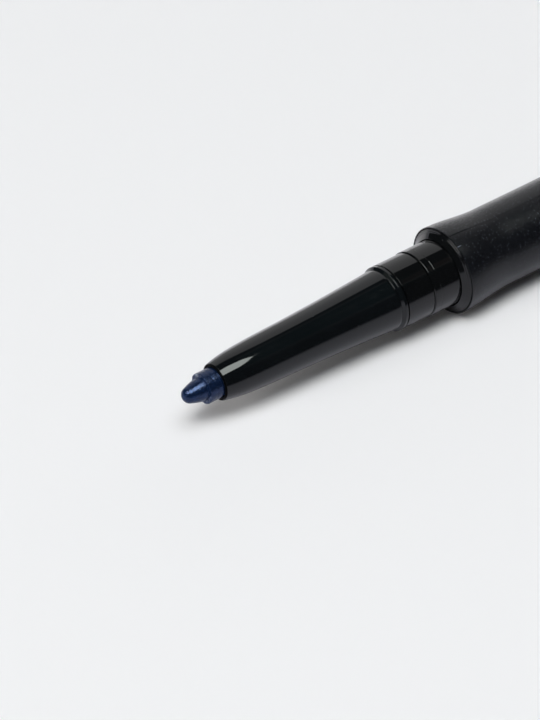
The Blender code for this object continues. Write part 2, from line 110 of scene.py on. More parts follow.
@dataclass(frozen=True)
class Axis:
    """The pencil's axis: where the barrel's mouth rim is, and how high the axis lies."""

    mouth_x: float
    height: float

    @classmethod
    def from_frame(cls) -> "Axis":
        """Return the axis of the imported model's barrel."""
        low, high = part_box("soft_touch_sleeve")
        return cls(low.x, (low.z + high.z) / 2)

    def at(self, station: float, radius: float = 0.0, angle: float = 0.0) -> tuple[float, ...]:
        """Return the point in metres at a station, a radius and an angle in radians."""
        return (self.mouth_x + station * MM, radius * MM * math.cos(angle),
                self.height + radius * MM * math.sin(angle))


def spread(start: float, end: float, count: int) -> list[float]:
    """Return count + 1 evenly spaced values from start to end."""
    return [start + (end - start) * step / count for step in range(count + 1)]


def arc(station: float, radius: float, size: float, start: float, end: float, steps: int) -> Profile:
    """Return points on an arc about (station, radius), with angles in degrees from +X outwards."""
    angles = [math.radians(a) for a in spread(start, end, steps)]
    return [(station + size * math.cos(a), radius + size * math.sin(a)) for a in angles]


def tube(front: float, rear: float, inner: float, outer: float, bore_edge: float, edge: float) -> Profile:
    """Return the corners of a tube, whose bore and outside have their own rounding."""
    return [(front, inner, bore_edge), (front, outer, edge), (rear, outer, edge), (rear, inner, bore_edge)]


def even_angles(segments: int) -> list[float]:
    """Return the angles of evenly spaced columns round the axis."""
    return [TURN * step / segments for step in range(segments)]


def rounded(corners: Profile) -> Profile:
    """Round the corners of a profile.

    Each arc gets a guard point at both ends, which keeps the shading of the straight parts straight.

    Args:
        corners: Each corner's station and radius, and its rounding where it has one.

    Returns:
        The profile's points.
    """
    made: Profile = []
    for index, corner in enumerate(corners):
        if len(corner) < 3:
            made.append(corner)
            continue
        point = Vector(corner[:2])
        before = Vector(corners[index - 1][:2]) - point
        after = Vector(corners[(index + 1) % len(corners)][:2]) - point
        half = before.angle(after) / 2
        reach = min(corner[2] / math.tan(half), ROUND_SHARE * before.length, ROUND_SHARE * after.length)
        before, after = before.normalized(), after.normalized()
        start, end = point + before * reach, point + after * reach
        centre = point + (before + after).normalized() * (reach * math.tan(half) / math.sin(half))
        first = start - centre
        sweep = first.angle_signed(end - centre)
        made.append(tuple(start + before * GUARD * reach))
        for turned in spread(0, -sweep, ROUND_STEPS):
            made.append((centre.x + first.x * math.cos(turned) - first.y * math.sin(turned),
                         centre.y + first.x * math.sin(turned) + first.y * math.cos(turned)))
        made.append(tuple(end + after * GUARD * reach))
    return made


def lathe(name: str, corners: Profile, axis: Axis, angles: list[float],
          whole: bool = True) -> bpy.types.Object:
    """Turn a closed profile about the pencil's axis.

    Args:
        name: Name of the new object.
        corners: The profile's corners. One that starts and ends on the axis has no bore.
        axis: The pencil's axis.
        angles: Angles of the columns, rising.
        whole: Whether the piece goes all the way round. An open ring gets flat ends.

    Returns:
        The new object, with its faces pointing outwards.
    """
    profile = rounded(corners)
    verts: list[tuple[float, ...]] = []
    columns: list[list[int]] = []
    poles: dict[int, int] = {}
    for angle in angles:
        column = []
        for index, (station, radius) in enumerate(profile):
            if index not in poles:
                column.append(len(verts))
                verts.append(axis.at(station, radius, angle))
                if radius < ON_AXIS:
                    poles[index] = column[-1]
            else:
                column.append(poles[index])
        columns.append(column)
    rows = len(profile) - (profile[0][1] < ON_AXIS and profile[-1][1] < ON_AXIS)
    faces = []
    for left, right in zip(columns, columns[1:] + (columns[:1] if whole else [])):
        for row in range(rows):
            after = (row + 1) % len(profile)
            face = list(dict.fromkeys([left[row], left[after], right[after], right[row]]))
            if len(face) > 2:
                faces.append(face)
    if not whole:
        faces += [list(reversed(columns[0])), list(columns[-1])]
    mesh = bpy.data.meshes.new(name)
    mesh.from_pydata(verts, [], faces)
    if signed_volume(mesh) < 0:
        mesh.flip_normals()
    mesh.validate()
    smooth(mesh)
    piece = bpy.data.objects.new(name, mesh)
    bpy.context.collection.objects.link(piece)
    return piece


def signed_volume(mesh: bpy.types.Mesh) -> float:
    """Measure a closed mesh.

    Args:
        mesh: The mesh.

    Returns:
        Six times its volume, which is negative when its faces point inwards.
    """
    mesh.calc_loop_triangles()
    coords = np.array([v.co for v in mesh.vertices])
    corners = coords[np.array([t.vertices for t in mesh.loop_triangles])]
    return float(np.einsum("ij,ij->i", corners[:, 0], np.cross(corners[:, 1], corners[:, 2])).sum())


def smooth(mesh: bpy.types.Mesh) -> None:
    """Shade a mesh smooth between its sharp edges."""
    mesh.shade_smooth()
    mesh.set_sharp_from_angle(angle=SMOOTH_ANGLE)


class Value:
    """A socket of a node tree. Sums on it add Math nodes."""

    def __init__(self, graph: "Graph", socket: bpy.types.NodeSocket) -> None:
        """Keep the socket and its graph."""
        self.graph = graph
        self.socket = socket

    def other(self, output: Any) -> "Value":
        """Return another output of the same node."""
        return Value(self.graph, self.socket.node.outputs[output])

    def __add__(self, other: Any) -> "Value":
        """Return the sum."""
        return self.graph.math("ADD", self, other)

    def __sub__(self, other: Any) -> "Value":
        """Return the difference."""
        return self.graph.math("SUBTRACT", self, other)

    def __rsub__(self, other: float) -> "Value":
        """Return a number less this value."""
        return self.graph.math("SUBTRACT", other, self)

    def __mul__(self, other: Any) -> "Value":
        """Return the product."""
        return self.graph.math("MULTIPLY", self, other)

    def __truediv__(self, other: Any) -> "Value":
        """Return the quotient."""
        return self.graph.math("DIVIDE", self, other)

    def __rtruediv__(self, other: float) -> "Value":
        """Return a number divided by this value."""
        return self.graph.math("DIVIDE", other, self)


class Graph:
    """Adds nodes to a node tree and joins them up."""

    def __init__(self, tree: bpy.types.NodeTree) -> None:
        """Keep the tree that the nodes go into."""
        self.tree = tree

    def __getitem__(self, label: str) -> Value:
        """Return one of a group's inputs."""
        return Value(self, self.tree.nodes["Group Input"].outputs[label])

    def close(self, result: Value) -> bpy.types.NodeTree:
        """Feed a group's output and return its tree."""
        self.feed(self.tree.nodes["Group Output"].inputs[0], result)
        return self.tree

    def feed(self, socket: bpy.types.NodeSocket, value: Any) -> None:
        """Feed an input.

        Args:
            socket: The input.
            value: A value or a list of values to link, or a plain number, vector or colour.
        """
        if isinstance(value, list):
            for one in value:
                self.feed(socket, one)
        elif isinstance(value, Value):
            self.tree.links.new(value.socket, socket)
        else:
            socket.default_value = (*value, 1.0) if socket.type == "RGBA" else value

    def add(self, kind: str, inputs: Optional[dict], output: Any, settings: dict[str, Any]) -> Value:
        """Add a node.

        Args:
            kind: The node's type.
            inputs: Values for its inputs, by name or index.
            output: The name or index of the output that is wanted.
            settings: The node's own properties.

        Returns:
            That output.
        """
        node = self.tree.nodes.new(kind)
        for name, value in settings.items():
            setattr(node, name, value)
        for key, value in (inputs or {}).items():
            self.feed(node.inputs[key], value)
        return Value(self, node.outputs[output])

    def shade(self, kind: str, inputs: Optional[dict] = None, output: Any = 0, **settings: Any) -> Value:
        """Add one of the shader nodes, which Geometry Nodes share in part."""
        return self.add("ShaderNode" + kind, inputs, output, settings)

    def shape(self, kind: str, inputs: Optional[dict] = None, **settings: Any) -> Value:
        """Add one of the Geometry Nodes nodes and return its first output."""
        return self.add("GeometryNode" + kind, inputs, 0, settings)

    def math(self, operation: str, *values: Any, clamp: bool = False) -> Value:
        """Add a Math node."""
        return self.shade("Math", dict(enumerate(values)), operation=operation, use_clamp=clamp)

    def vector(self, operation: str, *values: Any) -> Value:
        """Add a Vector Math node and return its vector."""
        return self.shade("VectorMath", dict(enumerate(values)), operation=operation)

    def combine(self, x: Any, y: Any, z: Any) -> Value:
        """Return a vector made of three numbers."""
        return self.shade("CombineXYZ", {0: x, 1: y, 2: z})

    def split(self, vector: Value) -> list[Value]:
        """Return a vector's three numbers."""
        first = self.shade("SeparateXYZ", {0: vector})
        return [first.other(index) for index in range(3)]

    def ramp(self, value: Any, start: Any, end: Any, low: Any = 0.0, high: Any = 1.0) -> Value:
        """Return a smooth step from low to high, as a value goes from start to end."""
        inputs = {"Value": value, 1: start, 2: end, 3: low, 4: high}
        return self.shade("MapRange", inputs, interpolation_type="SMOOTHSTEP")

    def blend(self, share: Any, low: Any, high: Any) -> Value:
        """Return a colour between two colours."""
        return self.shade("Mix", {0: share, 6: low, 7: high}, 2, data_type="RGBA")


def open_tree(name: str, kind: str, inputs: dict[str, Any], output: tuple[str, str]) -> Graph:
    """Start a node group with named sockets.

    Args:
        name: The group's name.
        kind: ShaderNodeTree or GeometryNodeTree.
        inputs: Each input's socket type, or its default number.
        output: The output's name and socket type.

    Returns:
        The group's graph.
    """
    tree = bpy.data.node_groups.new(name, kind)
    for label, value in inputs.items():
        typed = isinstance(value, str)
        item = tree.interface.new_socket(label, in_out="INPUT",
                                         socket_type=value if typed else "NodeSocketFloat")
        if not typed:
            item.default_value = value
    tree.interface.new_socket(output[0], in_out="OUTPUT", socket_type=output[1])
    for end in ("NodeGroupInput", "NodeGroupOutput"):
        tree.nodes.new(end)
    return Graph(tree)


class ShapeTrees:
    """The Geometry Nodes trees that shape pieces by a rule or cut what repeats."""

    def __init__(self, axis: Axis) -> None:
        """Build each tree once.

        Args:
            axis: The axis of the pieces.
        """
        self.axis = axis
        self.nose = self._nose_tree()
        self.slots = self._slot_tree()
        self.helix = self._helix_tree()
        self.cross_bore = self._cross_bore_tree()
        self.wear = self._wear_tree()

    def _open(self, name: str, *labels: str) -> Graph:
        """Start a tree that takes a geometry, named sizes and a material.

        Args:
            name: The tree's name.
            labels: Names of its sizes and counts.

        Returns:
            The tree's graph.
        """
        sizes = {label: "NodeSocketInt" if label in COUNTS else 0.0 for label in labels}
        sockets = {"Geometry": "NodeSocketGeometry", **sizes, "Material": "NodeSocketMaterial"}
        return open_tree(name, "GeometryNodeTree", sockets, ("Geometry", "NodeSocketGeometry"))

    def _end(self, graph: Graph, geometry: Value) -> bpy.types.NodeTree:
        """End a tree in Realize Instances and Set Material, and return it."""
        real = graph.shape("RealizeInstances", {0: geometry})
        return graph.close(graph.shape("SetMaterial", {"Geometry": real, "Material": graph["Material"]}))

    def _cut(self, graph: Graph, cutter: Value) -> bpy.types.NodeTree:
        """Cut the geometry with a cutter and end the tree."""
        meshes = {"Mesh 1": graph["Geometry"], "Mesh 2": cutter}
        return self._end(graph, graph.shape("MeshBoolean", meshes, operation="DIFFERENCE", solver="EXACT"))

    def _around(self, graph: Graph, cutter: Value, count: Value) -> Value:
        """Place a cutter round the axis.

        Args:
            graph: The tree's graph.
            cutter: The cutter, made round the origin's X axis.
            count: How many there are, evenly spaced.

        Returns:
            The cutters on the pencil's axis.
        """
        turn = graph.combine(graph.shape("InputIndex") * TURN / count, 0.0, 0.0)
        placed = graph.shape("InstanceOnPoints", {"Points": graph.shape("Points", {"Count": count}),
                                                  "Instance": cutter, "Rotation": turn})
        real = graph.shape("RealizeInstances", {0: placed})
        return graph.shape("Transform", {"Geometry": real, "Translation": self.axis.at(0)})

    def _polar(self, graph: Graph) -> tuple[Value, Value, Value, Value]:
        """Measure each vertex from the pencil's axis.

        Args:
            graph: The tree's graph.

        Returns:
            Its station, its radius and its offsets along Y and Z, in metres.
        """
        x, y, z = graph.split(graph.shape("InputPosition"))
        up = z - self.axis.height
        return x - self.axis.mouth_x, graph.math("SQRT", y * y + up * up), y, up

    def _set_radius(self, graph: Graph, geometry: Value, target: Value) -> Value:
        """Move the flank's vertices straight out or in.

        Args:
            graph: The tree's graph.
            geometry: The piece, with its flank marked.
            target: The radius that the flank gets.

        Returns:
            The changed geometry.
        """
        station, radius, y, up = self._polar(graph)
        scale = target / radius
        place = graph.combine(station + self.axis.mouth_x, y * scale, up * scale + self.axis.height)
        flank = graph.shape("InputNamedAttribute", {"Name": "flank"}, data_type="FLOAT")
        chosen = graph.math("GREATER_THAN", flank, 0.5)
        return graph.shape("SetPosition", {"Geometry": geometry, "Selection": chosen, "Position": place})

    def _nose_tree(self) -> bpy.types.NodeTree:
        """Build the rule of the nose's flank: an ogive that runs into a hollowed cone.

        Returns:
            The tree, with a named input for each size.
        """
        graph = self._open("ogive_nose", "Lip Station", "Length", "Lip Radius", "Rear Radius",
                           "Ogive Depth", "Ogive Length", "Hollow")
        along = self._polar(graph)[0] - graph["Lip Station"]
        share = along / graph["Length"]
        front = graph["Lip Radius"] + graph["Ogive Depth"]
        cone = (graph["Rear Radius"] - front) * share + front
        ogive = graph["Ogive Depth"] * graph.math("EXPONENT", along * -1.0 / graph["Ogive Length"])
        hollow = graph["Hollow"] * graph.math("SINE", share * math.pi)
        return self._end(graph, self._set_radius(graph, graph["Geometry"], cone - ogive - hollow))

    def skin_tree(self, ridges: Iterable["Ridge"]) -> bpy.types.NodeTree:
        """Build the rule of the barrel's skin: flare, waist, swell, taper and its mould lines.

        Args:
            ridges: The fine lines that the mould has left along the skin.

        Returns:
            The tree, with named inputs for each ridge. It stores the crest of the last ridge, the raised
            flash, as the mask of a painted highlight.
        """
        labels = [f"{ridge.name} {label}" for ridge in ridges for label in RIDGE_LENGTHS + RIDGE_NUMBERS]
        graph = self._open("flared_skin", "Body Radius", "Flare Height", "Flare Length", "Waist End",
                           "Swell Start", "Taper Start", "Rear", "Rear Radius", *labels)
        station, radius, y, up = self._polar(graph)
        flare = self._ease(graph, station / graph["Flare Length"])
        run = graph["Swell Start"] - graph["Waist End"]
        swell = self._ease(graph, (station - graph["Waist End"]) / run)
        run = graph["Rear"] - graph["Taper Start"]
        taper = graph.math("DIVIDE", station - graph["Taper Start"], run, clamp=True)
        drop = (graph["Body Radius"] - graph["Rear Radius"]) * taper * taper
        target = graph["Body Radius"] + graph["Flare Height"] * (swell - flare) - drop
        angle = graph.math("ARCTAN2", up, y)
        for ridge in ridges:
            name = ridge.name
            turn = graph.math("WRAP", angle - graph[f"{name} Angle"], math.pi, -math.pi)
            across = turn * radius / graph[f"{name} Width"]
            along = (station - graph[f"{name} Centre"]) / graph[f"{name} Reach"]
            away = across * across + graph.math("POWER", along, graph[f"{name} Power"])
            crest = graph.math("EXPONENT", away * -1.0)
            target = graph[f"{name} Height"] * crest + target
        # The flash's crest is kept as a mask. The skin's paint turns pale there: a painted highlight for the
        # glint that the raised flash catches.
        nick = graph.math("MULTIPLY", crest, 1.2, clamp=True)
        stored = {"Geometry": graph["Geometry"], "Name": "nick", "Value": nick}
        kept = graph.shape("StoreNamedAttribute", stored, data_type="FLOAT", domain="POINT")
        return self._end(graph, self._set_radius(graph, kept, target))

    def _ease(self, graph: Graph, share: Value) -> Value:
        """Return a cosine rise from 0 to 1."""
        held = graph.math("ADD", share, 0.0, clamp=True)
        return graph.math("COSINE", held * math.pi) * -0.5 + 0.5

    def _slot_tree(self) -> bpy.types.NodeTree:
        """Build the tree that cuts slots with one round end through a tube's wall.

        Returns:
            The tree, with a named input for each size.
        """
        graph = self._open("slotted_tube", "Slots", "Width", "Closed End", "Open End", "Inner Reach",
                           "Outer Reach")
        length = graph["Open End"] - graph["Closed End"]
        depth = graph["Outer Reach"] - graph["Inner Reach"]
        middle = (graph["Outer Reach"] + graph["Inner Reach"]) * 0.5
        size = graph.combine(graph.math("ABSOLUTE", length), depth, graph["Width"])
        place = graph.combine(length * 0.5 + graph["Closed End"], middle, 0.0)
        bar = graph.shape("MeshCube", {"Size": size})
        bar = graph.shape("Transform", {"Geometry": bar, "Translation": place})
        end = graph.shape("MeshCylinder", {"Vertices": SLOT_END_SIDES, "Radius": graph["Width"] * 0.5,
                                           "Depth": depth})
        place = graph.combine(graph["Closed End"], middle, 0.0)
        end = graph.shape("Transform", {"Geometry": end, "Translation": place, "Rotation": ACROSS})
        cutter = graph.shape("MeshBoolean", {"Mesh 2": [bar, end]}, operation="UNION", solver="EXACT")
        return self._cut(graph, self._around(graph, cutter, graph["Slots"]))

    def _helix_tree(self) -> bpy.types.NodeTree:
        """Build the tree that cuts the pin's helical grooves into the spiral sleeve's bore.

        Returns:
            The tree, with a named input for each size.
        """
        graph = self._open("helical_grooves", "Starts", "Pin Station", "Pitch", "First Turn", "Last Turn",
                           "Half Width", "Inner Radius", "Groove Radius")
        bar = graph.shape("MeshCylinder", {"Vertices": 4, "Side Segments": GROOVE_STEPS,
                                           "Radius": math.sqrt(2), "Depth": 2.0})
        x, y, z = graph.split(graph.shape("InputPosition"))
        turns = (z * 0.5 + 0.5) * (graph["Last Turn"] - graph["First Turn"]) + graph["First Turn"]
        square = graph.shade("VectorRotate", {"Vector": graph.combine(x, y, 0.0), "Angle": math.pi / 4},
                             rotation_type="Z_AXIS")
        across, outwards = graph.split(square)[:2]
        middle = (graph["Groove Radius"] + graph["Inner Radius"]) * 0.5
        radius = outwards * ((graph["Groove Radius"] - graph["Inner Radius"]) * 0.5) + middle
        advance = turns * -1.0 * graph["Pitch"] + graph["Pin Station"]
        along, angle = across * graph["Half Width"] + advance, turns * TURN
        place = graph.combine(along, radius * graph.math("COSINE", angle), radius * graph.math("SINE", angle))
        bar = graph.shape("SetPosition", {"Geometry": bar, "Position": place})
        return self._cut(graph, self._around(graph, bar, graph["Starts"]))

    def _cross_bore_tree(self) -> bpy.types.NodeTree:
        """Build the tree that bores a round hole across a piece, along Y.

        Returns:
            The tree, with a named input for each size.
        """
        graph = self._open("cross_bore", "Station", "Radius", "Reach")
        drill = graph.shape("MeshCylinder", {"Vertices": PIN_SIDES, "Radius": graph["Radius"],
                                             "Depth": graph["Reach"] * 2.0})
        place = graph.vector("ADD", graph.combine(graph["Station"], 0.0, 0.0), self.axis.at(0))
        drill = graph.shape("Transform", {"Geometry": drill, "Translation": place, "Rotation": ACROSS})
        return self._cut(graph, drill)

    def _wear_tree(self) -> bpy.types.NodeTree:
        """Build the tree that roughens the lead and frays the edge of its shoulder.

        Returns:
            The tree, with a named input for each size.
        """
        graph = self._open("frayed_lead", "Shoulder Station", "Fray Reach", "Fray Depth", "Grain Depth",
                           "Grain Size", "Rear", "Seed")
        place = graph.shape("InputPosition")
        finer = 1.0 / graph["Grain Size"]
        grain, fray = [
            graph.shade("TexNoise", {"Vector": place, "W": graph["Seed"], "Scale": finer * scale,
                                     "Detail": 2.0}, noise_dimensions="4D") - 0.5 for scale in (1.0, 0.4)]
        station = self._polar(graph)[0]
        offset = (station - graph["Shoulder Station"]) / graph["Fray Reach"]
        near = graph.math("EXPONENT", offset * offset * -1.0)
        depth = fray * near * graph["Fray Depth"] + grain * graph["Grain Depth"]
        depth = depth * graph.math("LESS_THAN", station, graph["Rear"])
        shift = graph.shade("VectorMath", {0: graph.shape("InputNormal"), "Scale": depth}, operation="SCALE")
        return self._end(graph, graph.shape("SetPosition", {"Geometry": graph["Geometry"], "Offset": shift}))


class Effects:
    """The shader node groups that materials share. Each puts out one value over the surface.

    Their sizes are in millimetres.
    """

    def __init__(self) -> None:
        """Build each group once."""
        self.groups = {Effect.MOTTLE: self._mottle(), Effect.SPECKLE: self._speckle(),
                       Effect.TURNING: self._turning(), Effect.HAIRLINES: self._hairlines()}

    def _open(self, effect: Effect, output: str, **sizes: float) -> Graph:
        """Start an effect's group, which takes a vector and its named sizes."""
        sockets = {"Vector": "NodeSocketVector", **sizes}
        return open_tree(effect.value, "ShaderNodeTree", sockets, (output, "NodeSocketFloat"))

    def _mottle(self) -> bpy.types.NodeTree:
        """Build the slow, cloudy change of a value over the surface.

        Returns:
            The group, with a named input for each size.
        """
        graph = self._open(Effect.MOTTLE, "Value", Size=1.0, Low=0.0, High=1.0)
        scale = PER_METRE / graph["Size"]
        noise = graph.shade("TexNoise", {"Vector": graph["Vector"], "Scale": scale, "Detail": 3.0})
        return graph.close(graph.ramp(noise, 0.3, 0.7, graph["Low"], graph["High"]))

    def _speckle(self) -> bpy.types.NodeTree:
        """Build the sparse small spots of dust, flakes or grain.

        Returns:
            The group, with a named input for each size.
        """
        graph = self._open(Effect.SPECKLE, "Mask", Size=0.1, Spacing=0.3, Share=0.5)
        scale = PER_METRE / graph["Spacing"]
        cells = graph.shade("TexVoronoi", {"Vector": graph["Vector"], "Scale": scale}, "Distance")
        radius = graph["Size"] / graph["Spacing"]
        lot = graph.split(cells.other("Color"))[0]
        spot = graph.ramp(cells, radius, radius * 0.4)
        return graph.close(spot * graph.math("LESS_THAN", lot, graph["Share"]))

    def _streaks(self, graph: Graph, vector: Value, along: Value, across: Value, detail: float) -> Value:
        """Draw a noise out into streaks.

        Args:
            graph: The group's graph.
            vector: Where the noise is read.
            along: Size of a streak along X.
            across: Its size along Y and Z.
            detail: How fine the noise is.

        Returns:
            The noise.
        """
        finer = PER_METRE / across
        stretched = graph.vector("MULTIPLY", vector, graph.combine(PER_METRE / along, finer, finer))
        return graph.shade("TexNoise", {"Vector": stretched, "Scale": 1.0, "Detail": detail})

    def _turning(self) -> bpy.types.NodeTree:
        """Build the fine lines round the axis that turning and polishing leave."""
        graph = self._open(Effect.TURNING, "Height", Pitch=0.1, Length=4.0)
        return graph.close(self._streaks(graph, graph["Vector"], graph["Pitch"], graph["Length"], 2.0))

    def _hairlines(self) -> bpy.types.NodeTree:
        """Build the faint scratches that handling leaves, in two directions.

        Returns:
            The group, with a named input for each size.
        """
        graph = self._open(Effect.HAIRLINES, "Mask", Width=0.05, Length=4.0, Share=0.3)
        edge = 1.0 - graph["Share"] * 0.5
        masks = []
        for tilt in (0.5, -0.9):
            tilted = {"Vector": graph["Vector"], "Rotation": (tilt, 2 * tilt, tilt)}
            turned = graph.shade("VectorRotate", tilted, rotation_type="EULER_XYZ")
            noise = self._streaks(graph, turned, graph["Length"], graph["Width"], 1.0)
            masks.append(graph.ramp(noise, edge - 0.1, edge))
        return graph.close(graph.math("MAXIMUM", *masks))


def open_material(name: str) -> tuple[bpy.types.Material, Graph]:
    """Start a material.

    Args:
        name: The material's name.

    Returns:
        The material and its graph.
    """
    material = bpy.data.materials.new(name)
    material.use_nodes = True
    return material, Graph(material.node_tree)


class Surface:
    """A material in the making, on Object coordinates and with the shared effects at hand."""

    def __init__(self, name: str, effects: Effects) -> None:
        """Start the material.

        Args:
            name: The material's name.
            effects: The shared effects.
        """
        self.material, self.graph = open_material(name)
        self.place = self.graph.shade("TexCoord", output="Object")
        self.groups = effects.groups

    def effect(self, effect: Effect, **values: float) -> Value:
        """Place an effect with its own values and return its output."""
        return self.graph.shade("Group", {"Vector": self.place, **values}, node_tree=self.groups[effect])

    def dress(self, relief: Value, depth: float, **values: Any) -> bpy.types.Material:
        """Feed the Principled shader.

        Args:
            relief: The height of the surface's fine relief.
            depth: How deep the relief is, in millimetres.
            values: The shader's other inputs by name, with spaces as underscores.

        Returns:
            The finished material.
        """
        inputs = self.material.node_tree.nodes["Principled BSDF"].inputs
        bump = {"Height": relief, "Distance": depth * MM, "Strength": 1.0}
        values["Normal"] = self.graph.shade("Bump", bump)
        for name, value in values.items():
            self.graph.feed(inputs[name.replace("_", " ")], value)
        return self.material


@dataclass(frozen=True)
class Finish:
    """What every finish has."""

    name: str

    def paint(self, surface: Surface) -> bpy.types.Material:
        """Paint a surface and return its material."""
        raise NotImplementedError(self.name)


@dataclass(frozen=True)
class SoftTouch(Finish):
    """Matte rubbery paint: near black, finely grained, with a sparse sparkle and a painted highlight on the
    raised mould flash.
    """

    name: str = "soft_touch_paint"
    dark: Colour = (0.0028, 0.0033, 0.0046)
    light: Colour = (0.0044, 0.0050, 0.0066)
    sparkle: Colour = (0.16, 0.18, 0.22)
    sparkle_share: float = 0.34

    def paint(self, surface: Surface) -> bpy.types.Material:
        """Paint a surface.

        Args:
            surface: The material in the making.

        Returns:
            The finished material.
        """
        graph = surface.graph
        shade = graph.blend(surface.effect(Effect.MOTTLE, Size=0.5), self.dark, self.light)
        grain = surface.effect(Effect.MOTTLE, Size=0.11)
        flake = surface.effect(Effect.SPECKLE, Size=0.055, Spacing=0.20, Share=0.32)
        # The pale sparkle specks are the paint's own. The pale flash is a painted highlight for the glint
        # that the raised flash catches.
        nick = graph.shade("Attribute", output="Fac", attribute_name="nick")
        pale = graph.math("MAXIMUM", flake * self.sparkle_share, nick)
        rough = surface.effect(Effect.MOTTLE, Size=0.7, Low=0.225, High=0.255)
        return surface.dress(flake * 0.5 + grain, 0.008, Base_Color=graph.blend(pale, shade, self.sparkle),
                             Roughness=rough, Specular_IOR_Level=0.40)


@dataclass(frozen=True)
class GlossPlastic(Finish):
    """Polished black moulded plastic with faint polishing lines, hairlines and dust."""

    name: str = "gloss_black_plastic"
    dark: Colour = (0.0013, 0.0020, 0.0026)
    light: Colour = (0.0019, 0.0027, 0.0034)
    dust: Colour = (0.16, 0.17, 0.18)
    roughness: tuple[float, float] = (0.045, 0.07)
    shine: float = 0.5

    def paint(self, surface: Surface) -> bpy.types.Material:
        """Paint a surface.

        Args:
            surface: The material in the making.

        Returns:
            The finished material.
        """
        graph = surface.graph
        speck = surface.effect(Effect.SPECKLE, Size=0.035, Spacing=0.6, Share=0.10)
        shade = graph.blend(surface.effect(Effect.MOTTLE, Size=3.0), self.dark, self.light)
        rough = surface.effect(Effect.MOTTLE, Size=1.2, Low=self.roughness[0], High=self.roughness[1])
        rough = surface.effect(Effect.HAIRLINES, Width=0.03, Length=2.5, Share=0.55) * 0.06 + rough
        lines = surface.effect(Effect.TURNING, Pitch=0.12, Length=3.0)
        return surface.dress(lines, 0.00035, Base_Color=graph.blend(speck, shade, self.dust),
                             Roughness=speck * 0.5 + rough, Specular_IOR_Level=self.shine)


@dataclass(frozen=True)
class NaturalPlastic(Finish):
    """Uncoloured moulded plastic of the inner pieces, slightly clouded."""

    name: str = "natural_moulded_plastic"
    dark: Colour = (0.66, 0.65, 0.59)
    light: Colour = (0.74, 0.73, 0.68)

    def paint(self, surface: Surface) -> bpy.types.Material:
        """Paint a surface.

        Args:
            surface: The material in the making.

        Returns:
            The finished material.
        """
        shade = surface.graph.blend(surface.effect(Effect.MOTTLE, Size=2.2), self.dark, self.light)
        rough = surface.effect(Effect.MOTTLE, Size=0.8, Low=0.34, High=0.46)
        rough = surface.effect(Effect.HAIRLINES, Width=0.05, Length=2.0, Share=0.5) * 0.12 + rough
        lines = surface.effect(Effect.TURNING, Pitch=0.1, Length=2.0)
        return surface.dress(lines, 0.002, Base_Color=shade, Roughness=rough)


@dataclass(frozen=True)
class Steel(Finish):
    """Bright drawn steel with fine lines."""

    name: str = "drawn_steel"
    dark: Colour = (0.50, 0.50, 0.52)
    light: Colour = (0.66, 0.66, 0.67)

    def paint(self, surface: Surface) -> bpy.types.Material:
        """Paint a surface.

        Args:
            surface: The material in the making.

        Returns:
            The finished material.
        """
        lines = surface.effect(Effect.TURNING, Pitch=0.03, Length=1.5)
        shade = surface.graph.blend(lines, self.dark, self.light)
        return surface.dress(lines, 0.001, Base_Color=shade, Roughness=lines * 0.2 + 0.16, Metallic=1.0)


@dataclass(frozen=True)
class Rubber(Finish):
    """Black moulded rubber of the brake ring, with a dusty bloom."""

    name: str = "brake_rubber"
    dark: Colour = (0.010, 0.010, 0.010)
    bloom: Colour = (0.030, 0.030, 0.031)

    def paint(self, surface: Surface) -> bpy.types.Material:
        """Paint a surface.

        Args:
            surface: The material in the making.

        Returns:
            The finished material.
        """
        cloud = surface.effect(Effect.MOTTLE, Size=0.5)
        grain = surface.effect(Effect.SPECKLE, Size=0.03, Spacing=0.08, Share=0.5)
        shade = surface.graph.blend(cloud, self.dark, self.bloom)
        return surface.dress(grain, 0.003, Base_Color=shade, Roughness=cloud * 0.15 + 0.55)


@dataclass(frozen=True)
class PearlLead(Finish):
    """Navy wax lead with pearl flakes, drawn lines round it, a waxy sheen and a pale smear."""

    name: str = "navy_pearl_lead"
    deep: Colour = (0.004, 0.015, 0.054)
    bright: Colour = (0.008, 0.026, 0.086)
    flake: Colour = (0.16, 0.26, 0.46)
    smear: Colour = (0.30, 0.34, 0.37)
    smear_place: Colour = (-0.0643, 0.00092, 0.0063)
    smear_reach: float = 0.56

    def paint(self, surface: Surface) -> bpy.types.Material:
        """Paint a surface.

        Args:
            surface: The material in the making.

        Returns:
            The finished material.
        """
        graph = surface.graph
        flake = surface.effect(Effect.SPECKLE, Size=0.06, Spacing=0.14, Share=0.35)
        grain = surface.effect(Effect.MOTTLE, Size=0.15)
        lines = surface.effect(Effect.TURNING, Pitch=0.09, Length=0.9)
        shade = graph.blend(surface.effect(Effect.MOTTLE, Size=0.35), self.deep, self.bright)
        shade = graph.blend(flake * 0.35, shade, self.flake)
        away = graph.vector("DISTANCE", surface.place, self.smear_place).other("Value")
        reach = self.smear_reach * MM
        worn = graph.ramp(away, reach, 0.2 * reach) * (grain * 0.4 + 0.6) * 0.7
        rough = surface.effect(Effect.MOTTLE, Size=0.2, Low=0.14, High=0.22)
        return surface.dress(grain * 0.6 + (lines * 0.7 + flake * 0.35), 0.012, Roughness=rough,
                             Base_Color=graph.blend(worn, shade, self.smear),
                             Metallic=(flake * 0.25 + 0.62) * (1.0 - worn), Specular_IOR_Level=0.9)


@dataclass(frozen=True)
class Ridge:
    """A fine line that the mould has left along the skin, raised or sunk."""

    name: str
    angle: float
    height: float
    width: float
    centre: float
    reach: float
    power: float = 6.0


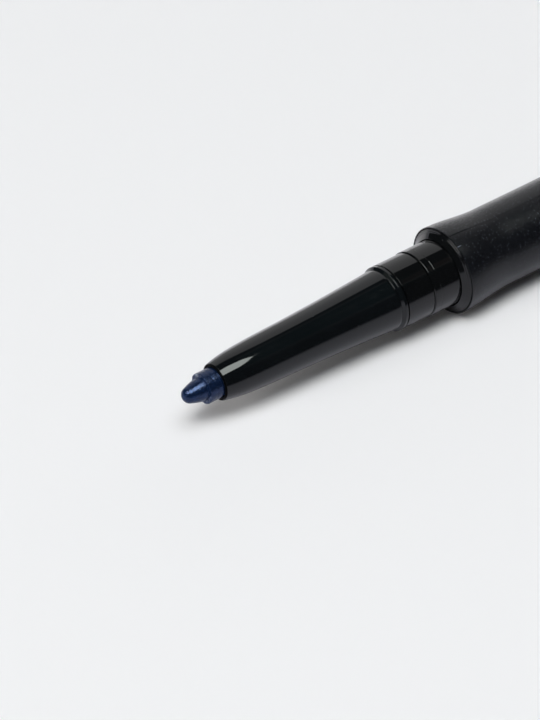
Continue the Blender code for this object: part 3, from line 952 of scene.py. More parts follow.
class Workshop:
    """What the sub-assemblies share: the axis, the trees and the finishes."""

    def __init__(self, axis: Axis) -> None:
        """Build the trees, the effects and a material for each slot.

        Args:
            axis: The pencil's axis.
        """
        self.axis = axis
        self.trees = ShapeTrees(axis)
        self.effects = Effects()
        dark, light, dust = (0.0010, 0.0012, 0.0014), (0.0015, 0.0017, 0.0019), (0.10, 0.10, 0.11)
        self.deep_gloss = self.mix(GlossPlastic("deep_gloss_plastic", dark, light))
        # A near-black finish with almost no gloss: painted shade, for the gap round the lead inside the
        # nose's lip.
        self.deep_matte = self.mix(GlossPlastic("deep_matte_plastic", dark, light, dust, (0.45, 0.55), 0.05))
        kinds = {Slot.SOFT: SoftTouch, Slot.GLOSS: GlossPlastic, Slot.NATURAL: NaturalPlastic,
                 Slot.STEEL: Steel, Slot.RUBBER: Rubber, Slot.LEAD: PearlLead}
        self.finishes = {slot: self.mix(kind()) for slot, kind in kinds.items()}

    def mix(self, finish: Finish) -> bpy.types.Material:
        """Return the material of a finish."""
        return finish.paint(Surface(finish.name, self.effects))

    def turn(self, name: str, corners: Profile, segments: int = INNER_SEGMENTS) -> bpy.types.Object:
        """Return a whole turned piece with evenly spaced columns."""
        return lathe(name, corners, self.axis, even_angles(segments))

    def shape(self, piece: bpy.types.Object, tree: bpy.types.NodeTree, slot: Slot, lengths: dict[str, float],
              numbers: Optional[dict[str, float]] = None) -> bpy.types.Object:
        """Run a Geometry Nodes tree on a piece and keep the result as its plain mesh.

        Args:
            piece: The piece that the tree changes.
            tree: The tree, whose first input is the geometry.
            slot: The material slot of the piece.
            lengths: Values of its inputs by name, in millimetres.
            numbers: Values of the inputs that aren't lengths.

        Returns:
            The same piece, with its new mesh and no modifier.
        """
        modifier = piece.modifiers.new(tree.name, "NODES")
        modifier.node_group = tree
        sockets = {item.name: item.identifier for item in tree.interface.items_tree if item.in_out == "INPUT"}
        values = {label: length * MM for label, length in lengths.items()}
        for label, value in {**values, **(numbers or {}), "Material": self.finishes[slot]}.items():
            modifier[sockets[label]] = value
        bpy.context.view_layer.update()
        shaped = piece.evaluated_get(bpy.context.evaluated_depsgraph_get())
        mesh, old = bpy.data.meshes.new_from_object(shaped), piece.data
        piece.modifiers.remove(modifier)
        piece.data = mesh
        mesh.name = old.name
        bpy.data.meshes.remove(old)
        smooth(mesh)
        return piece


@dataclass
class Unit:
    """A sub-assembly, whose pieces ride on one body and keep a little play between them."""

    body: ClassVar[Body]
    shop: Workshop
    play: float = 0.05
    pin_station: float = 27.5

    def fit(self, piece: bpy.types.Object, slot: Slot, node: str,
            finish: Optional[bpy.types.Material] = None) -> None:
        """Dress a finished piece and put it in the frame.

        Args:
            piece: The finished piece.
            slot: The material slot of its finish.
            node: The CAD node that it stands for.
            finish: The finish, where it differs from the slot's usual one.
        """
        piece.data.materials.clear()
        piece.data.materials.append(finish or self.shop.finishes[slot])
        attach(piece, self.body.value)
        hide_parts(node)
        piece.data.calc_loop_triangles()
        log.info("%s stands for %s on %s: %d triangles", piece.name, node, self.body.value,
                 len(piece.data.loop_triangles))

    def mark_flank(self, piece: bpy.types.Object, low: float, high: float, inside: float) -> None:
        """Mark the vertices of a piece's outer flank.

        Args:
            piece: The piece.
            low: First station of the flank.
            high: Last station of the flank.
            inside: Radius below which a vertex belongs to the bore.
        """
        coords = np.array([v.co for v in piece.data.vertices])
        station = (coords[:, 0] - self.shop.axis.mouth_x) / MM
        radius = np.hypot(coords[:, 1], coords[:, 2] - self.shop.axis.height) / MM
        chosen = (station > low) & (station < high) & (radius > inside)
        attribute = piece.data.attributes.new("flank", "FLOAT", "POINT")
        attribute.data.foreach_set("value", chosen.astype(np.float32))


@dataclass
class LeadUnit(Unit):
    """What slides along the pencil: the lead, its cup, the pusher rod and the cross pin."""

    body = Body.LEAD
    tip: float = -35.05
    shoulder: float = -32.60
    rear: float = -4.90
    radius: float = 1.72
    dome: float = 0.92
    cone: float = 1.28
    bulge: float = 0.065
    waist: float = -31.80
    waist_depth: float = 0.016
    waist_width: float = 0.12
    fine_rear: float = -26.0
    cup_radius: float = 2.07
    cup_grip: float = 4.1
    cup_floor: float = 1.7
    slit: float = 0.4
    slit_length: float = 3.4
    rod_radius: float = 1.50
    rod_taper: float = 0.35
    spigot_radius: float = 0.80
    pin_radius: float = 0.40
    pin_reach: float = 3.05
    pin_edge: float = 0.08
    guide: float = 2.6

    def build(self) -> None:
        """Make and fit the pieces of the lead unit."""
        self.make_lead()
        self.make_cup()
        self.make_rod()
        self.make_pin()

    def lead_profile(self) -> Profile:
        """Draw the lead from its domed point over its cone and shoulder to its flat rear.

        Returns:
            The corners of its profile.
        """
        slope = math.degrees(math.atan2(self.cone - self.dome, self.shoulder - self.tip - self.dome))
        point = arc(self.tip + self.dome, 0, self.dome, 180, 90 + slope, 22)
        start, radius = point[-1]
        flank = [(start + (self.shoulder - start) * share,
                  radius + (self.cone - radius) * share + self.bulge * math.sin(math.pi * share))
                 for share in spread(0, 1, 30)[1:-1]]
        face = [(self.shoulder, r) for r in spread(self.cone + 0.06, self.radius - 0.12, 6)]
        collar = [(self.shoulder + 0.15 + 0.05 * step, self.radius) for step in range(8)]
        waist = [(x, self.radius - self.waist_depth * math.exp(-((x - self.waist) / self.waist_width) ** 2))
                 for x in spread(self.waist - 0.25, self.waist + 0.35, 18)]
        return [(self.tip, 0), *point[1:], *flank, (self.shoulder, self.cone, 0.05), *face,
                (self.shoulder, self.radius, 0.09), *collar, *waist,
                *((x, self.radius) for x in spread(self.waist + 0.5, self.fine_rear, 60)),
                (self.rear, self.radius, 0.06), (self.rear, 0)]

    def make_lead(self) -> None:
        """Make the lead, roughened and with a frayed shoulder."""
        lead = self.shop.turn("lead_stick", self.lead_profile(), OUTER_SEGMENTS)
        self.shop.shape(lead, self.shop.trees.wear, Slot.LEAD, {
            "Shoulder Station": self.shoulder, "Fray Reach": 0.16, "Fray Depth": 0.16,
            "Grain Depth": 0.012, "Grain Size": 0.16, "Rear": self.rear - 1}, {"Seed": 4.0})
        self.fit(lead, Slot.LEAD, "lead")

    def make_cup(self) -> None:
        """Make the cup, whose four claws grip the lead's rear."""
        front, floor = self.rear - self.cup_grip, self.rear + self.play
        end, bore, rod_bore = floor + self.cup_floor, self.radius + self.play, self.spigot_radius + self.play
        cup = self.shop.turn("lead_cup_claws", [
            (front, bore, 0.08), (front, self.cup_radius, 0.08), (end, self.cup_radius, 0.1),
            (end, rod_bore, 0.1), (floor, rod_bore), (floor, bore, 0.1)])
        self.shop.shape(cup, self.shop.trees.slots, Slot.NATURAL, {
            "Width": self.slit, "Closed End": front + self.slit_length - self.slit / 2, "Open End": front - 1,
            "Inner Reach": 1.2, "Outer Reach": 3}, {"Slots": 4})
        self.fit(cup, Slot.NATURAL, "lead_cup")

    def make_rod(self) -> None:
        """Make the pusher rod, with its spigot in the cup and its bored guide."""
        front = self.rear + 2 * self.play
        shoulder = front + self.cup_floor
        low, high = self.pin_station - self.guide / 2, self.pin_station + self.guide / 2
        rod = self.shop.turn("pusher_rod_turned", [
            (front, 0), (front, self.spigot_radius, 0.15), (shoulder, self.spigot_radius, 0.08),
            (shoulder, self.rod_radius, 0.12), (low - self.rod_taper, self.rod_radius, 0.2),
            (low, self.cup_radius, 0.15), (high, self.cup_radius, 0.15), (high, 0)])
        self.shop.shape(rod, self.shop.trees.cross_bore, Slot.NATURAL, {
            "Station": self.pin_station, "Radius": self.pin_radius + self.play, "Reach": 4})
        self.fit(rod, Slot.NATURAL, "pusher_rod")

    def make_pin(self) -> None:
        """Make the pin, turned at the origin and then laid across the pencil."""
        reach, radius, edge, axis = self.pin_reach, self.pin_radius, self.pin_edge, self.shop.axis
        pin = lathe("follower_pin_ground", [
            (-reach, 0), (-reach, radius - edge), (edge - reach, radius), (reach - edge, radius),
            (reach, radius - edge), (reach, 0)], Axis(0, 0), even_angles(PIN_SIDES))
        for vert in pin.data.vertices:
            x, y, z = vert.co
            vert.co = (y + axis.mouth_x + self.pin_station * MM, -x, z + axis.height)
        self.fit(pin, Slot.STEEL, "follower_pin")


@dataclass
class FrontUnit(Unit):
    """What turns in the barrel: the nose, collar, click sleeve, guide fork and their small parts."""

    body = Body.FRONT
    lip: float = -30.8
    lip_radius: float = 2.07
    lip_bore: float = 1.82
    lip_edge: float = 0.03
    lip_depth: float = 2.1
    # The ring in the lip, whose near-black finish is painted shade for the gap round the lead.
    shade_ring_radius: float = 2.0
    shade_ring_reach: float = 0.12
    shade_ring_depth: float = 0.5
    shade_ring_bores: tuple[float, float] = (1.755, 1.80)
    groove_front: float = -8.50
    groove_radius: float = 3.37
    bead_front: float = -8.20
    nose_rear: float = -7.80
    rear_radius: float = 3.45
    ogive_depth: float = 0.64
    ogive_length: float = 2.42
    hollow: float = 0.20
    row_crowding: float = 1.6
    slide_bore: float = 2.17
    socket_front: float = -11.95
    socket_radius: float = 2.82
    spigot_front: float = -11.90
    spigot_radius: float = 2.77
    collar_radius: float = 3.70
    collar_front: float = -7.66
    collar_rear: float = -4.25
    neck_radius: float = 3.20
    neck_end: float = 2.05
    shank_radius: float = 3.35
    shank_bore: float = 2.70
    shank_front: float = -5.55
    shank_end: float = 5.90
    brake_front: float = 3.30
    brake_rear: float = 3.90
    brake_floor: float = 2.97
    brake_round: float = 0.20
    brake_centre: float = 3.208
    washer_depth: float = 0.5
    click_radius: float = 3.80
    click_front: float = -4.15
    click_rear: float = 1.60
    click_bore: float = 3.25
    click_line: float = -3.24
    line_half: float = 0.032
    line_depth: float = 0.010
    fork_front: float = -5.5
    fork_radius: float = 2.65
    fork_rear: float = 35.4
    clip_groove: tuple[float, float] = (34.05, 34.85)
    clip_floor: float = 2.45
    clip_radius: float = 3.0
    clip_ends: tuple[float, float] = (7.5, 317.5)

    def build(self) -> None:
        """Make and fit the pieces of the front unit."""
        self.make_nose()
        self.make_bush()
        self.make_click_sleeve()
        self.make_fork()
        self.make_rings()

    def make_nose(self) -> None:
        """Make the nose, whose flank follows the ogive rule, and the dark ring in its lip, whose near-black,
        barely glossy finish is painted shade for the gap round the lead.
        """
        shop, start, stop, slack = self.shop, self.lip + self.lip_edge, self.groove_front, 0.001
        bottom, mouth, flank_end = self.lip + self.lip_depth, self.lip + self.shade_ring_depth, stop - 0.03
        nose = shop.turn("nose_shell", [
            *arc(start, self.lip_radius + 0.02 - self.lip_edge, self.lip_edge, 180, 98, 6),
            *((start + (flank_end - start) * share ** self.row_crowding, self.rear_radius)
              for share in spread(0, 1, 150)),
            (stop, self.rear_radius - 0.01, 0.02), (stop + 0.02, self.groove_radius, 0.02),
            (stop + 0.08, self.groove_radius, 0.04), (self.bead_front + 0.06, self.collar_radius, 0.05),
            (self.nose_rear, self.collar_radius, 0.03), (self.nose_rear, self.socket_radius, 0.05),
            (self.socket_front, self.socket_radius), (self.socket_front, self.slide_bore, 0.05),
            (bottom, self.slide_bore), (bottom, self.lip_bore), (mouth, self.lip_bore),
            (mouth, self.shade_ring_radius), (self.lip, self.shade_ring_radius, 0.01)], OUTER_SEGMENTS)
        self.mark_flank(nose, start - slack, flank_end + slack, self.rear_radius - slack)
        shop.shape(nose, shop.trees.nose, Slot.GLOSS, {
            "Lip Station": self.lip, "Length": stop - self.lip, "Lip Radius": self.lip_radius,
            "Rear Radius": self.rear_radius, "Ogive Depth": self.ogive_depth,
            "Ogive Length": self.ogive_length, "Hollow": self.hollow})
        self.fit(nose, Slot.GLOSS, "nose_cone")
        # The dark ring in the lip is painted shade: its near-black finish with almost no gloss stands in for
        # the shade in the gap round the lead.
        outer, front, rear = self.shade_ring_radius - 0.005, self.lip - self.shade_ring_reach, mouth - 0.01
        shade_ring = shop.turn("nose_wiper", [
            (front, self.shade_ring_bores[0], 0.03), (front, outer, 0.05), (rear, outer, 0.01),
            (rear, self.shade_ring_bores[1], 0.01)], OUTER_SEGMENTS)
        self.fit(shade_ring, Slot.GLOSS, "nose_cone", shop.deep_matte)

    def make_bush(self) -> None:
        """Make the bush: the collar that shows and the shank inside the barrel."""
        collar, shank = self.collar_radius, self.shank_radius
        bush = self.shop.turn("front_bush_turned", [
            (self.spigot_front, self.spigot_radius, 0.1), (self.collar_front, self.spigot_radius),
            (self.collar_front, collar, 0.02), (self.collar_rear, collar),
            (self.collar_rear, self.neck_radius), (self.neck_end, self.neck_radius),
            (self.neck_end, shank, 0.04), (self.brake_front, shank, 0.03),
            (self.brake_front, self.brake_floor, 0.05), (self.brake_rear, self.brake_floor, 0.05),
            (self.brake_rear, shank, 0.03), (self.shank_end, shank, 0.06), (self.shank_end, self.shank_bore),
            (self.shank_front, self.shank_bore), (self.shank_front, self.slide_bore, 0.05),
            (self.spigot_front, self.slide_bore, 0.05)], OUTER_SEGMENTS)
        self.fit(bush, Slot.GLOSS, "front_bush", self.shop.deep_gloss)

    def make_click_sleeve(self) -> None:
        """Make the sleeve that the cap clicks on, with its fine turned line."""
        outer, line, half = self.click_radius, self.click_line, self.line_half
        sleeve = self.shop.turn("click_sleeve_polished", [
            (self.click_front, self.collar_radius + 0.005), (self.click_front + 0.10, outer, 0.05),
            (line - half, outer, 0.015), (line, outer - self.line_depth, 0.008), (line + half, outer, 0.015),
            (self.click_rear, outer, 0.08), (self.click_rear, self.click_bore),
            (self.click_front, self.click_bore)], OUTER_SEGMENTS)
        self.fit(sleeve, Slot.GLOSS, "click_sleeve", self.shop.deep_gloss)

    def make_fork(self) -> None:
        """Make the slotted guide fork and the open clip at its rear."""
        shop, outer, floor = self.shop, self.fork_radius, self.clip_floor
        front, rear = self.clip_groove
        fork = shop.turn("guide_fork_slotted", [
            (self.fork_front, self.slide_bore, 0.06), (self.fork_front, outer, 0.08), (front, outer, 0.03),
            (front, floor), (rear, floor), (rear, outer, 0.03), (self.fork_rear, outer, 0.12),
            (self.fork_rear, self.slide_bore, 0.06)])
        shop.shape(fork, shop.trees.slots, Slot.NATURAL, {
            "Width": 1.0, "Closed End": 7.9, "Open End": self.fork_rear + 1, "Inner Reach": 1.6,
            "Outer Reach": 3.6}, {"Slots": 2})
        self.fit(fork, Slot.NATURAL, "guide_fork")
        wire = tube(front + self.play, rear - self.play, floor + self.play, self.clip_radius, 0.05, 0.12)
        angles = spread(*(math.radians(end) for end in self.clip_ends), 84)
        clip = lathe("fork_clip_sprung", wire, shop.axis, angles, whole=False)
        self.fit(clip, Slot.STEEL, "fork_clip")

    def make_rings(self) -> None:
        """Make the rubber brake ring and the thrust washer on the bush's shank."""
        middle = (self.brake_front + self.brake_rear) / 2
        ring = arc(middle, self.brake_centre, self.brake_round, 0, 360, 24)[:-1]
        self.fit(self.shop.turn("brake_ring_moulded", ring), Slot.RUBBER, "brake_o_ring")
        front = self.shank_end + self.play
        washer = tube(front, front + self.washer_depth, self.shank_bore, self.shank_radius, 0.06, 0.08)
        self.fit(self.shop.turn("washer_moulded", washer), Slot.NATURAL, "thrust_washer")


@dataclass
class Barrel(Unit):
    """What the hand holds: skin, core, mouth ring, spiral sleeve, lock ring and end plug."""

    body = Body.BARREL
    body_radius: float = 5.0
    rim_round: float = 0.075
    socket: float = 4.85
    mouth_draft: float = 0.25
    mouth_depth: float = 1.95
    skin_bore: float = 4.05
    skin_rear: float = 92.25
    skin_rows: tuple[int, ...] = (40, 10, 40, 6, 24)
    rear_bevel: tuple[float, float] = (0.08, 0.03)
    ridge_margin: float = 0.16
    ridge_columns: tuple[float, ...] = (0, 0.015, 0.03, 0.05, 0.07, 0.10, 0.14)
    flare_height: float = 0.5
    flare_length: float = 6.8
    waist_end: float = 14.0
    swell_start: float = 45.0
    taper_start: float = 80.0
    plug_front: float = 92.3
    plug_reach: float = 8.0
    plug_radius: float = 3.60
    end_radius: float = 4.65
    plug_floor: float = 3.0
    length: float = 98.0
    core_bore: float = 3.65
    core_radius: float = 4.0
    core_front: float = 2.0
    brake_bore: float = 3.45
    brake_rear: float = 6.45
    ring_inner: float = 3.89
    ring_outer: float = 4.80
    ring_bend: float = 4.45
    ring_slopes: tuple[float, float] = (0.47, 0.30)
    ring_steps: tuple[tuple[float, float], ...] = ((4.56, 0.022), (4.75, 0.024))
    ring_edge: float = 0.05
    ring_rear: float = 1.9
    step_width: float = 0.0045
    bend_width: float = 0.02
    spiral_front: float = 6.5
    spiral_rear: float = 34.0
    spiral_radius: float = 3.60
    spiral_bore: float = 2.75
    groove_radius: float = 3.15
    groove_pitch: float = 6.0
    groove_half: float = 0.50
    travel: tuple[float, float] = (-5.0, 19.5)
    lock_bore: float = 3.10
    lock_rear: float = 35.45
    ridges: tuple[Ridge, ...] = (
        Ridge("Seam", math.radians(98.8), -0.06, 0.026, 46.0, 46.5),
        Ridge("Front Seam", math.radians(98.8), -0.10, 0.034, 1.1, 1.6),
        Ridge("Far Seam", math.radians(-81.2), -0.06, 0.026, 46.0, 46.5),
        Ridge("Short Line", math.radians(111.7), 0.012, 0.04, 2.2, 1.2),
        Ridge("Flash", math.radians(116.6), 0.05, 0.035, 0.20, 0.26, 4.0),
    )

    def build(self) -> None:
        """Make and fit the pieces of the barrel."""
        self.make_skin()
        self.make_core()
        self.make_mouth_ring()
        self.make_spiral()
        self.make_end_plug()

    def skin_angles(self) -> list[float]:
        """Place the skin's columns evenly, with finer ones at each ridge.

        Returns:
            The angles in radians, rising.
        """
        angles = {round(a, 6) for a in even_angles(OUTER_SEGMENTS)}
        for ridge in self.ridges:
            centre = ridge.angle % TURN
            angles = {a for a in angles if abs(a - centre) * self.body_radius > self.ridge_margin}
            angles |= {round(centre + side * offset / self.body_radius, 6)
                       for offset in self.ridge_columns for side in (-1, 1)}
        return sorted(angles)

    def make_skin(self) -> None:
        """Make the matte skin: its flank follows the rule of the flare, waist and taper."""
        shop, rim, rear = self.shop, self.rim_round, self.skin_rear
        bevel, inset = self.rear_bevel
        ends = (rim, self.flare_length, self.waist_end, self.swell_start, self.taper_start, rear - bevel)
        stations = [x for start, end, count in zip(ends, ends[1:], self.skin_rows)
                    for x in spread(start, end, count)[1:]]
        skin = lathe("barrel_skin", [
            *arc(rim, self.socket + rim, rim, 270, 90, 20), *((x, self.body_radius) for x in stations),
            (rear, self.end_radius - inset), (rear, self.skin_bore), (self.mouth_depth, self.skin_bore),
            (self.mouth_depth, self.socket - self.mouth_draft)], shop.axis, self.skin_angles())
        self.mark_flank(skin, rim * 0.3, rear - 0.05, self.body_radius - 0.09)
        lengths = {"Body Radius": self.body_radius, "Flare Height": self.flare_height,
                   "Flare Length": self.flare_length, "Waist End": self.waist_end, "Rear": self.plug_front,
                   "Swell Start": self.swell_start, "Taper Start": self.taper_start,
                   "Rear Radius": self.end_radius}
        numbers = {}
        for ridge in self.ridges:
            lengths |= {f"{ridge.name} {label}": getattr(ridge, label.lower()) for label in RIDGE_LENGTHS}
            numbers |= {f"{ridge.name} {label}": getattr(ridge, label.lower()) for label in RIDGE_NUMBERS}
        shop.shape(skin, shop.trees.skin_tree(self.ridges), Slot.SOFT, lengths, numbers)
        self.fit(skin, Slot.SOFT, "soft_touch_sleeve")

    def make_core(self) -> None:
        """Make the hard tube under the skin."""
        core = self.shop.turn("barrel_core_tube", [
            (self.core_front, self.brake_bore, 0.05), (self.core_front, self.core_radius, 0.1),
            (self.skin_rear, self.core_radius, 0.1), (self.skin_rear, self.core_bore, 0.08),
            (self.brake_rear, self.core_bore), (self.brake_rear, self.brake_bore, 0.05)])
        self.fit(core, Slot.GLOSS, "barrel_core")

    def make_mouth_ring(self) -> None:
        """Make the glossy ring in the mouth: a cone, then a flatter band with two fine steps."""
        inner, outer, edge, rear = self.ring_inner, self.ring_outer, self.ring_edge, self.ring_rear
        flat, steep = self.ring_slopes
        face = []
        for radius in spread(inner + edge, outer, 180):
            steps = sum(height / (1 + math.exp((place - radius) / self.step_width))
                        for place, height in self.ring_steps)
            bend = self.bend_width * math.log(1 + math.exp((self.ring_bend - radius) / self.bend_width))
            face.append((steps - edge - flat * (outer - radius) - steep * bend, radius))
        ring = self.shop.turn("mouth_ring_polished", [
            (face[0][0] - 0.03, inner, edge), *face, (rear, outer - self.mouth_draft, 0.1),
            (rear, inner, edge)], OUTER_SEGMENTS)
        self.fit(ring, Slot.GLOSS, "mouth_ring", self.shop.deep_gloss)

    def make_spiral(self) -> None:
        """Make the spiral sleeve with its two helical grooves, and the ring that locks it."""
        shop, bore, pitch, half = self.shop, self.spiral_bore, self.groove_pitch, self.groove_half
        outer, first, last = self.spiral_radius, self.spiral_rear + self.play, self.lock_rear
        wall = tube(self.spiral_front, self.spiral_rear, bore, outer, 0.06, 0.1)
        sleeve = shop.turn("spiral_sleeve_grooved", wall)
        end, slope = half / (TURN * bore), math.atan2(pitch, TURN * bore)
        turns = {"Starts": 2, "First Turn": self.travel[0] / pitch - end,
                 "Last Turn": self.travel[1] / pitch + end}
        shop.shape(sleeve, shop.trees.helix, Slot.NATURAL, {
            "Pin Station": self.pin_station, "Pitch": pitch, "Half Width": half / math.cos(slope),
            "Inner Radius": 2.5, "Groove Radius": self.groove_radius}, turns)
        self.fit(sleeve, Slot.NATURAL, "spiral_sleeve")
        ring = shop.turn("lock_ring_moulded", [
            (first, self.lock_bore, 0.08), (first, outer, 0.08), (last, outer, 0.15),
            (last, self.lock_bore, 0.08)])
        self.fit(ring, Slot.NATURAL, "spiral_lock_ring")

    def make_end_plug(self) -> None:
        """Make the plug: a hollow spigot in the core and a head with a flat end and a gate mark."""
        draft, edge, land, gate, dish, wall = 0.15, 0.4, 0.4, 0.6, 0.05, 0.8
        spigot, head = self.plug_radius, self.end_radius - draft
        neck, front, end = self.plug_front - self.plug_reach, self.plug_front, self.length
        floor = end - self.plug_floor
        plug = self.shop.turn("end_plug_polished", [
            (floor, 0), (floor, spigot - wall, 0.3), (neck, spigot - wall, 0.06), (neck, spigot, 0.15),
            (front, spigot), (front, self.end_radius, 0.06), *arc(end - edge, head - edge, edge, 88, 0, 14),
            *((end, r) for r in spread(head - edge - land, 2 * gate, 5)),
            *((end - dish * (1 - (r / gate) ** 2), r) for r in spread(gate, 0, 8))], OUTER_SEGMENTS)
        self.fit(plug, Slot.GLOSS, "end_plug")


def overhead(height: float, *points: tuple[float, float]) -> Profile:
    """Return the corners of a level panel, from each corner's slopes along X and Y as the nose sees it."""
    return [(height * x, height * y, height) for x, y in points]


@dataclass(frozen=True)
class Panel:
    """A flat glowing panel round the pencil, with its corners in metres from a point on the nose.

    Light that falls comes from the lit panels, and gloss shows the others.
    """

    name: str
    corners: Profile
    glow: Colour
    lit: bool = False


@dataclass
class Studio:
    """What stands round the pencil, in metres: floor, panels, room, world and camera.

    The lit panels are where the photographed shadow needs them, and the others where the
    photographed gloss shows them. Only reflections meet the dark room.
    """

    axis: Axis
    pencil_radius: float = 0.005
    floor_radius: float = 3.2
    floor_colour: Colour = (0.95, 0.95, 0.952)
    world_colour: Colour = (0.86, 0.86, 0.86)
    fill: Colour = (0.045, 0.045, 0.046)
    # The floor's colours in reflections are painted light: brighter behind the pencil, dimmer near it, darker
    # still far towards the camera.
    painted_reflection_behind: Colour = (1.3, 1.28, 1.3)
    painted_reflection_near: Colour = (0.68, 0.68, 0.735)
    painted_reflection_far: Colour = (0.076, 0.081, 0.095)
    near_away: tuple[float, float] = (-0.10, -0.012)
    behind_away: tuple[float, float] = (0.0, 0.03)
    behind_along: tuple[float, float] = (-0.062, -0.038)
    panel_station: float = -25.0
    room_radius: float = 6.5
    room_glow: Colour = (0.050, 0.055, 0.060)
    panels: tuple[Panel, ...] = (
        Panel("key_light", overhead(3.0, (-1.0, 0), (-1.0, -0.434), (-0.6, -0.62), (0.14, -0.62),
                                    (0.2, -0.372), (0.16, 0)), (3.38, 3.55, 3.74), True),
        Panel("key_core", overhead(2.9, (-0.7, -0.45), (-0.3, -0.45), (-0.3, -0.15), (-0.7, -0.15)),
              (12.4, 12.1, 11.7), True),
        Panel("low_left_light", [(-3.0, 0.80, 0), (-3.0, -0.53, 0), (-3.0, -0.53, 1.75), (-3.0, 0.80, 1.75)],
              (10.9, 10.7, 10.5), True),
        Panel("low_right_light", [(3.0, 0, 0), (2.3, 2.7, 0), (2.3, 2.7, 1.2), (3.0, 0, 1.1)],
              (1.55, 1.55, 1.55), True),
        Panel("softbox", overhead(1.0, (0.14, 0.02), (0.33, -0.08), (0.41, -0.25), (0.375, -0.47),
                                  (0.30, -0.58), (-0.37, -0.58), (-0.42, -0.27), (-0.30, -0.06),
                                  (-0.10, 0.02)),
              (6.08, 6.53, 6.27)),
        Panel("edge_light", overhead(1.02, (-1.0, -0.40), (-0.45, -0.40), (-0.45, 0.45), (-1.0, 0.45)),
              (6.3, 6.3, 6.3)),
        Panel("white_board", [(x, 1, z) for x, z in (
            (-0.12, -0.02), (2.8, -0.02), (2.8, 2.5), (1.5, 2.4), (1.05, 2.10), (0.44, 1.47), (0.12, 1.20),
            (-0.12, 1.1))], (0.66, 0.665, 0.675)),
        Panel("dim_panel", overhead(1.04, (0.30, 0.16), (0.565, 0.16), (0.80, -0.97), (0.45, -0.97)),
              (0.050, 0.074, 0.080)),
        Panel("dim_cloth", overhead(1.04, (0.62, -0.20), (0.95, -0.20), (1.10, -0.51), (0.68, -0.51)),
              (0.115, 0.100, 0.100)),
        Panel("upper_rail", overhead(1.03, (0.30, 0.16), (0.565, 0.16), (0.565, 0.20), (0.30, 0.20)),
              (0.25, 0.26, 0.26)),
        Panel("lower_rail", overhead(1.03, (0.45, -1.04), (0.80, -1.04), (0.80, -0.97), (0.45, -0.97)),
              (0.25, 0.26, 0.26)),
        Panel("cloth_rail", overhead(1.03, (0.68, -0.55), (1.10, -0.55), (1.10, -0.51), (0.68, -0.51)),
              (0.25, 0.26, 0.26)),
        Panel("dim_card", [(-1.4, 0.1, 0.75), (-1.4, 1.3, 0.75), (-1.4, 1.3, 1.5), (-1.4, 0.1, 1.5)],
              (0.21, 0.23, 0.21)),
    )
    lens: float = 186.0
    camera_offset: tuple[float, float, float] = (-0.21085, -0.23852, 0.24309)
    camera_elevation: float = math.radians(38.79)
    camera_bearing: float = math.radians(38.13)

    def build(self) -> None:
        """Make everything that stands round the pencil."""
        self.make_floor()
        self.make_room()
        self.make_panels()
        self.make_world()
        self.make_camera()

    def stage_mesh(self, name: str, verts: Profile, faces: list[list[int]], shown: bool = False,
                   lit: bool = False) -> bpy.types.Object:
        """Make a stage object out of faces.

        Args:
            name: The object's name.
            verts: Its corners.
            faces: Its faces.
            shown: Whether the camera sees it. Otherwise it casts no shadow.
            lit: Whether its light falls on the pencil and the floor.

        Returns:
            The new object.
        """
        mesh = bpy.data.meshes.new(name)
        mesh.from_pydata(verts, [], faces)
        piece = bpy.data.objects.new(name, mesh)
        bpy.context.collection.objects.link(piece)
        piece.visible_camera = shown
        piece.visible_shadow = shown
        piece.visible_diffuse = shown or lit
        return piece

    def cover(self, piece: bpy.types.Object, material: bpy.types.Material, shader: Value) -> None:
        """Cover a stage object with a material that has one bare shader.

        Args:
            piece: The stage object.
            material: Its material, which still has its Principled shader.
            shader: The shader that takes that one's place.
        """
        nodes = material.node_tree.nodes
        shader.graph.feed(nodes["Material Output"].inputs["Surface"], shader)
        nodes.remove(nodes["Principled BSDF"])
        piece.data.materials.append(material)

    def glow(self, piece: bpy.types.Object, colour: Colour) -> None:
        """Make a stage object glow evenly."""
        material, graph = open_material(f"{piece.name}_glow")
        self.cover(piece, material, graph.shade("Emission", {"Color": colour, "Strength": 1.0}))

    def make_floor(self) -> None:
        """Make the pale paper that the pencil lies on. In reflections its colour is painted light: brighter
        behind the pencil, dimmer near it and darker still further towards the camera.
        """
        height, size = self.axis.height - self.pencil_radius, self.floor_radius
        ring = [(size * math.cos(a), size * math.sin(a), height) for a in even_angles(96)]
        floor = self.stage_mesh("floor", ring, [list(range(len(ring)))], True)
        material, graph = open_material("floor_paper")
        along, away = graph.split(graph.shade("TexCoord", output="Object"))[:2]
        # Painted reflection light: glossy rays see a brightness that stands in for how the studio's light
        # falls over the paper, not the paper's own colour.
        painted_reflection_colour = graph.blend(graph.ramp(away, *self.near_away), self.painted_reflection_far, self.painted_reflection_near)
        behind = graph.ramp(away, *self.behind_away) * graph.ramp(along, *self.behind_along)
        painted_reflection_colour = graph.blend(behind, painted_reflection_colour, self.painted_reflection_behind)
        colour = graph.blend(graph.shade("LightPath", output="Is Glossy Ray"), self.floor_colour, painted_reflection_colour)
        self.cover(floor, material, graph.shade("BsdfDiffuse", {"Color": colour}))

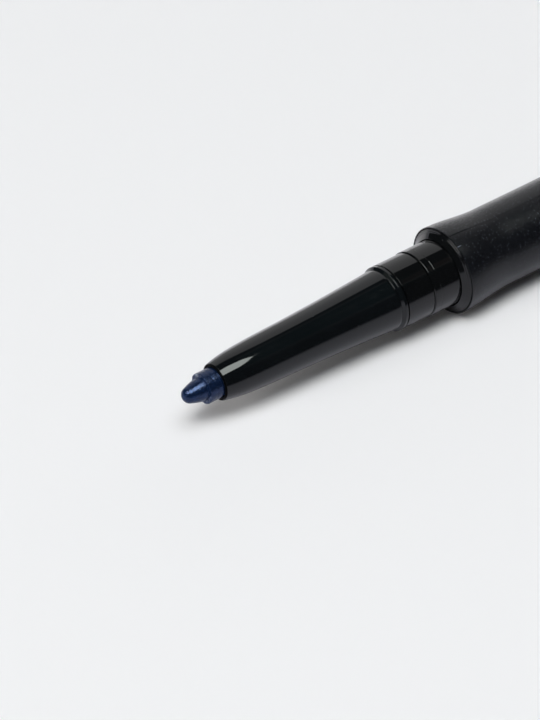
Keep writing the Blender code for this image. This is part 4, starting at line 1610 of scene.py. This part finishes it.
    def make_room(self) -> None:
        """Make the dark room that reflections meet where no lamp or paper is."""
        rows, columns, size = 10, 24, self.room_radius
        verts = [(size * math.cos(tilt) * math.cos(angle), size * math.cos(tilt) * math.sin(angle),
                  size * math.sin(tilt))
                 for tilt in spread(-math.pi / 2, math.pi / 2, rows) for angle in even_angles(columns)]
        faces = [[row * columns + c, row * columns + (c + 1) % columns,
                  (row + 1) * columns + (c + 1) % columns, (row + 1) * columns + c]
                 for row in range(rows) for c in range(columns)]
        self.glow(self.stage_mesh("dark_room", verts, faces), self.room_glow)

    def make_panels(self) -> None:
        """Make the glowing panels, which the camera never sees."""
        origin = Vector(self.axis.at(self.panel_station))
        for panel in self.panels:
            verts = [tuple(origin + Vector(corner)) for corner in panel.corners]
            piece = self.stage_mesh(panel.name, verts, [list(range(len(verts)))], lit=panel.lit)
            piece.visible_glossy = not panel.lit
            self.glow(piece, panel.glow)

    def make_world(self) -> None:
        """Make the pale surroundings that the camera sees past the floor, and the soft fill."""
        world = bpy.data.worlds.new("pale_world")
        world.use_nodes = True
        graph = Graph(world.node_tree)
        camera, glossy, through = [graph.shade("LightPath", output=f"Is {kind} Ray")
                                   for kind in ("Camera", "Glossy", "Transmission")]
        shown = graph.math("MAXIMUM", graph.math("MAXIMUM", camera, glossy), through)
        colour = graph.blend(shown, self.fill, self.world_colour)
        graph.feed(world.node_tree.nodes["Background"].inputs["Color"], colour)
        bpy.context.scene.world = world

    def make_camera(self) -> None:
        """Make the camera at the photograph's place, angle and lens."""
        data = bpy.data.cameras.new("camera")
        data.lens = self.lens
        data.sensor_width = 36.0
        data.clip_start = 0.01
        data.clip_end = 20.0
        camera = bpy.data.objects.new("camera", data)
        camera.location = Vector(self.axis.at(0)) + Vector(self.camera_offset)
        camera.rotation_euler = (math.pi / 2 - self.camera_elevation, 0, -self.camera_bearing)
        bpy.context.collection.objects.link(camera)
        bpy.context.scene.camera = camera


def main() -> None:
    """Build the studio, then the barrel, the front unit and the lead unit."""
    logging.basicConfig(level=logging.INFO, format="%(name)s: %(message)s")
    bpy.context.scene.view_settings.view_transform = "Standard"
    axis = Axis.from_frame()
    Studio(axis).build()
    shop = Workshop(axis)
    for unit in (Barrel, FrontUnit, LeadUnit):
        unit(shop).build()


if __name__ == "__main__":
    main()
